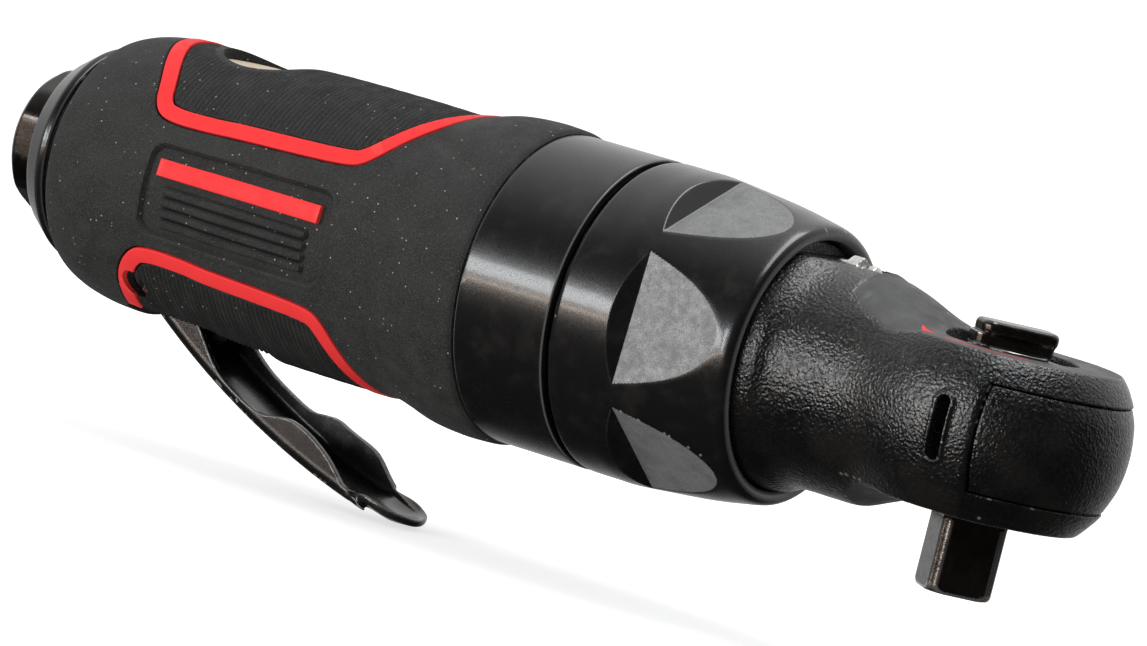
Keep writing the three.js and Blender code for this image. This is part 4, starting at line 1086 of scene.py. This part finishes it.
def crease_depth(x, angle):
    """A shallow valley on each side where the boot starts to flare, running forwards as it goes down."""
    arc = np.radians(np.abs(90 - np.abs(angle))) * ARC_RADIUS
    start, end = (np.array((place, math.radians(down) * ARC_RADIUS)) for place, down in CREASE)
    run = end - start
    share = ((x - start[0]) * run[0] + (arc - start[1]) * run[1]) / (run @ run)
    aside = ((x - start[0]) * run[1] - (arc - start[1]) * run[0]) / math.sqrt(run @ run)
    length = np.clip(1 - (2 * share - 1) ** 2, 0, 1)
    return 0.8 * length * np.exp(-((aside / 1.6) ** 2)) * (angle > 0)


def add_boot():
    x = np.append(np.arange(BOOT_REAR, BOOT_FRONT, 0.2 * COARSE), BOOT_FRONT)[:, None]
    angle = np.linspace(-180, 180, int(640 / COARSE), endpoint=False)[None, :]
    upper = trim_path(UPPER_TRIM, 90, True)
    lower = trim_path(LOWER_TRIM, -90, False)
    outside = round_tool(x, boot_radius(x, angle, upper, lower), np.radians(angle))
    inside = [
        (BOOT_FRONT, 19.6), (BOOT_FRONT - 0.3, 19.32), (-155.4, 19.32), (-155.4, 15.9),
        (BOOT_REAR + 0.1, 15.9), (BOOT_REAR, 16.2),
    ]
    bore = [round_tool(a, r, np.radians(angle[0])) for a, r in inside]
    shape = lofted([*outside, *bore], closed=True)
    piece = add_mesh("grip_boot", shape, RUBBER, "housing", "boot", slot="rubber", sharp=50)
    cut_mesh(
        piece,
        box_shape((-145, -117), (-7.7, 7.7), (-30, -10), 1.5),
        pin_hole(BOOT_PIN_BORE),
        rod_shape(WINDOW_RADIUS, (WINDOW_X, 0, 15), (WINDOW_X, 0, 24), 120),
    )
    add_trim("trim_upper", upper, True, "boot_trim_upper")
    add_trim("trim_lower", lower, False, "boot_trim_lower", cut_pin=True)
    for name, side in (("near", 1), ("far", -1)):
        add_bar(name, side)
    add_plate()


def band_rings(path, closed, width, below, above):
    """Rings of a band laid on the boot along (x, arc) points, its edges rounded."""
    ahead = np.roll(path, -1, axis=0) - np.roll(path, 1, axis=0)
    if not closed:
        ahead[0], ahead[-1] = path[1] - path[0], path[-1] - path[-2]
    across = np.stack([-ahead[:, 1], ahead[:, 0]], axis=1)
    across /= np.linalg.norm(across, axis=1, keepdims=True)
    section = rounded(
        [(-width / 2, -below), (width / 2, -below), (width / 2, above), (-width / 2, above)], 0.22, 3
    )
    rings = []
    for place, side in zip(path, across):
        spots = np.array([place + side * offset for offset, _ in section])
        crowned = [lift + 0.06 * (1 - (2 * offset / width) ** 2) * (lift > 0) for offset, lift in section]
        reach = BOOT_PROFILE(spots[:, 0]) + np.array(crowned)
        rings.append(round_tool(spots[:, 0], reach, spots[:, 1] / ARC_RADIUS))
    return rings


def add_trim(name, path, closed, node, cut_pin=False):
    shape = lofted(band_rings(path, closed, TRIM_WIDTH, 0.7, 0.12), closed)
    piece = add_mesh(name, shape, RED, "housing", node, slot="red_rubber")
    if cut_pin:
        cut_mesh(piece, pin_hole(BOOT_PIN_BORE))


def add_bar(name, side):
    x = np.linspace(*BAR["x"], 60)
    angle = BAR["angle"] if side > 0 else 180 - BAR["angle"]
    path = np.stack([x, np.full(60, math.radians(angle) * ARC_RADIUS)], axis=1)
    shape = lofted(band_rings(path, False, BAR["width"], PANEL_DEPTH - 0.05, 0.08))
    add_mesh("bar_" + name, shape, RED, "housing", "accent_bar_" + name, slot="red_rubber")


def add_plate():
    """The blank plate at the bottom of the boot's window, with a raised border."""
    top, under = 19.55, 18.9
    profile = [
        (0.05, under), (7.3, under), (7.6, under + 0.2), (7.6, top - 0.1), (7.5, top), (7.1, top + 0.06),
        (6.7, top + 0.06), (6.5, top), (0.05, top),
    ]
    turn = np.linspace(0, 2 * math.pi, 120, endpoint=False)
    rings = [
        np.stack([WINDOW_X + r * np.cos(turn), r * np.sin(turn), z + 0 * turn], axis=-1) for r, z in profile
    ]
    add_mesh("window_plate", lofted(rings), PLATE, "housing", "rating_plate", slot="plate_tan")


# ---------------------------------------------------------------- throttle
WEB = {"x": 0.5, "z": -4.8, "slope": math.radians(-33), "radius": 135.0}
WEB_CENTRE = (
    WEB["x"] - WEB["radius"] * math.sin(WEB["slope"]),
    WEB["z"] + WEB["radius"] * math.cos(WEB["slope"]),
)
SHEET = 1.2
LEVER_HALF = 6.5
LEVER_REAR, TONGUE_CENTRE, TONGUE_RADIUS = -3.5, 47.5, 6.05  # the first two are lengths along the web


def web_point(length, lift):
    """A point that far along the web's arc and that far above it, from the pin."""
    slope = WEB["slope"] + length / WEB["radius"]
    reach = WEB["radius"] - lift
    return WEB_CENTRE[0] + reach * math.sin(slope), WEB_CENTRE[1] - reach * math.cos(slope)


NEAR_CREST = [
    (47, 0.4), (44.5, 0.9), (42.6, 1.5), (40.6, 2.7), (38, 3.9), (34.5, 4.8), (31, 5.15), (28, 4.7),
    (25.2, 3.0), (22.9, 2.0), (18, 1.7), (13, 1.9),
]
FAR_CREST = [
    (52, 0.4), (50, 1.0), (48, 1.6), (44.3, 2.5), (42, 3.5), (39.6, 4.9), (37.3, 5.75), (32, 5.6),
    (28.9, 5.75), (26.5, 4.8), (24.1, 3.6), (18, 3.5), (13, 3.5),
]


def flange_outline(crest):
    """One flange from the side: an eye round the pin, a low edge, and an ear near the front."""
    sole = [web_point(length, -0.4) for length in np.linspace(LEVER_REAR, crest[0][0], 9)]
    eye = [(7.5, -3.6), (4.6, -0.3), (3.3, 1.9), (1.7, 3.1), (0, 3.4), (-1.8, 3), (-3.1, 1.6), (-3.6, -0.6)]
    top = [web_point(*point) for point in crest]
    return [tuple(p) for p in chaikin([*sole, *top, *eye], 2, True)]


OUTLINES = flange_outline(NEAR_CREST), flange_outline(FAR_CREST)


def lever_distance(x, y, z):
    along, up = x - LEVER_PIN[0], z - LEVER_PIN[1]
    dx, dz = along - WEB_CENTRE[0], WEB_CENTRE[1] - up
    length = (np.arctan2(dx, dz) - WEB["slope"]) * WEB["radius"]
    side = np.abs(y)
    dish = 1.5 * step_between(length - 44, 6) * (side / 6) ** 2 + 0.9 * step_between(length - 52, 5)
    lift = WEB["radius"] - np.hypot(dx, dz)
    band = slab(lift - dish, 0, SHEET) * 0.9
    strip = np.maximum(slab(length, LEVER_REAR, TONGUE_CENTRE - 4), side - LEVER_HALF)
    tongue = soft_min(strip, np.hypot(length - TONGUE_CENTRE, y) - TONGUE_RADIUS, 2.0)
    web = soft_max(band, tongue, 0.5)
    near, far = (polygon_distance(along, up, outline) for outline in OUTLINES)
    taper = LEVER_HALF - 0.8 * step_between(length - 46, 8)
    flange = np.maximum(np.where(y < 0, near, far), np.maximum(taper - SHEET - side, side - taper))
    body = soft_min(web, soft_max(flange, tongue, 0.3), 1.0)
    body = soft_max(body, soft_max(side - LEVER_HALF, -lift, 2.2), 0.3)
    eye = np.hypot(along, up) - 1.75
    return cut(body, eye + 0 * y, radius=0.3)


def add_throttle():
    low, high = (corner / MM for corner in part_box("throttle_lever"))
    low = low.x - 1, low.y, low.z - AXIS_Z - 1
    high = high.x + 1.5, high.y, high.z - AXIS_Z + 0.5
    shape = surface_net(low, high, 0.2, lever_distance)
    add_mesh("lever_pressing", shape, LEVER_GLOSS, "lever", "throttle_lever", slot="gloss_black",
             smooth_by=lever_distance)
    pin = turned(rounded([(-10.4, 0.05), (-10.4, 1.5), (10.4, 1.5), (10.4, 0.05)], 0.35, 3, False), 64, False)
    points = pin[0][:, [1, 0, 2]] + (LEVER_PIN[0], 0, LEVER_PIN[1])
    add_mesh("lever_pivot_pin", (points, pin[1]), BRIGHT, "housing", "lever_pin", slot="bright_steel")
    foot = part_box("throttle_plunger")[0].z / MM - AXIS_Z
    profile = [
        (foot, 0.05), (foot + 0.25, 1), (foot + 0.9, 1.7), (foot + 2, 2), (-4.5, 2), (-4.5, 1.2), (1.05, 1.2),
        (1.05, 0.05),
    ]
    plunger = to_z_axis(turned(rounded(profile, 0.3, 3, False), 72, False), VALVE_X)
    add_mesh("plunger_stem", plunger, GROUND, "plunger", "throttle_plunger", slot="bearing_steel")


# ---------------------------------------------------------------- studio
def add_camera():
    """The photograph's own view: a long lens, turned a little about its line of sight."""
    azimuth, elevation, roll = (math.radians(a) for a in (31.87, 4.89, 13.97))
    aim = Vector((BOOT_FRONT, 0, AXIS_Z)) * MM
    off_centre = Vector((-4.09, 4.97)) * MM
    distance = 1.0589
    level_share = math.cos(elevation)
    back = (math.sin(azimuth) * level_share, -math.cos(azimuth) * level_share, math.sin(elevation))
    back = Vector(back)
    level = Vector((math.cos(azimuth), math.sin(azimuth), 0))
    upright = back.cross(level)
    right = level * math.cos(roll) + upright * math.sin(roll)
    up = upright * math.cos(roll) - level * math.sin(roll)
    place = aim - right * off_centre.x - up * off_centre.y + back * distance
    data = bpy.data.cameras.new("camera")
    data.sensor_width = 36
    data.lens = 227.2
    data.clip_start, data.clip_end = 0.05, 50
    camera = bpy.data.objects.new("camera", data)
    camera.matrix_world = Matrix((right, up, back)).transposed().to_4x4()
    camera.location = place
    bpy.context.scene.collection.objects.link(camera)
    bpy.context.scene.camera = camera


def add_light(name, place, aim, size, power, color):
    data = bpy.data.lights.new(name, "AREA")
    data.shape = "RECTANGLE"
    data.size, data.size_y = size
    data.energy = power
    data.color = color
    light = bpy.data.objects.new(name, data)
    light.location = place
    light.rotation_mode = "QUATERNION"
    light.rotation_quaternion = (Vector(aim) - Vector(place)).to_track_quat("-Z", "Y")
    bpy.context.scene.collection.objects.link(light)


def add_surroundings():
    """White to look at and softer as a lamp. Reflections show a pale wall behind the tool and a dark room."""
    world = bpy.data.worlds.new("studio")
    bpy.context.scene.world = world
    world.use_nodes = True
    nodes, links = world.node_tree.nodes, world.node_tree.links
    path, place = nodes.new("ShaderNodeLightPath"), nodes.new("ShaderNodeTexCoord")
    towards_wall = nodes.new("ShaderNodeVectorMath")
    towards_wall.operation = "DOT_PRODUCT"
    towards_wall.inputs[1].default_value = (-0.40, 0.67, 0.62)
    links.new(place.outputs["Generated"], towards_wall.inputs[0])
    wall = nodes.new("ShaderNodeMapRange")
    wall.interpolation_type = "SMOOTHSTEP"
    for key, number in (("From Min", 0.0), ("From Max", 1.0), ("To Min", 0.02), ("To Max", 0.9)):
        wall.inputs[key].default_value = number
    links.new(towards_wall.outputs["Value"], wall.inputs["Value"])
    seen, strength = nodes.new("ShaderNodeMix"), nodes.new("ShaderNodeMix")
    links.new(path.outputs["Is Camera Ray"], seen.inputs[0])
    seen.inputs[2].default_value, seen.inputs[3].default_value = 0.6, 1.0
    links.new(path.outputs["Is Glossy Ray"], strength.inputs[0])
    links.new(seen.outputs[0], strength.inputs[2])
    links.new(wall.outputs["Result"], strength.inputs[3])
    white = nodes["Background"]
    white.inputs["Color"].default_value = (1, 1, 1, 1)
    links.new(strength.outputs[0], white.inputs["Strength"])


def add_studio():
    floor_z = cad_box[0].z
    size = 30.0
    mesh = bpy.data.meshes.new("floor")
    mesh.from_pydata(
        [(-size, -size, floor_z), (size, -size, floor_z), (size, size, floor_z), (-size, size, floor_z)],
        [], [(0, 1, 2, 3)],
    )
    pale = Finish(
        "floor_pale", base_color=(0.8, 0.8, 0.8, 1), roughness=0.9, emission_color=(1, 1, 1, 1),
        emission_strength=0.6,
    )
    mesh.materials.append(pale.material)
    floor = bpy.data.objects.new("floor", mesh)
    floor.visible_glossy = False
    floor.visible_diffuse = False
    bpy.context.scene.collection.objects.link(floor)

    add_surroundings()
    middle = Vector((-0.075, 0, 0.02))
    add_light("key", (-0.52, -0.82, 0.13), middle, (0.60, 0.14), 3.6, (0.95, 0.98, 1.0))
    add_light("front", (-0.12, -0.95, 0.16), middle, (0.07, 0.26), 1.5, (0.90, 0.96, 1.0))
    add_light("top", (0.05, 0.05, 0.9), middle, (0.9, 0.30), 4.6, (0.96, 0.98, 1.0))
    add_light("low", (-0.35, -0.85, -0.005), middle, (0.8, 0.03), 1.2, (1.0, 0.78, 0.62))
    bpy.context.scene.view_settings.view_transform = "Standard"


finish_cad_nodes()
add_camera()
add_head()
add_drive()
add_grease_fitting()
add_collar()
add_motor_housing()
add_rear_end()
add_boot()
add_throttle()
add_studio()
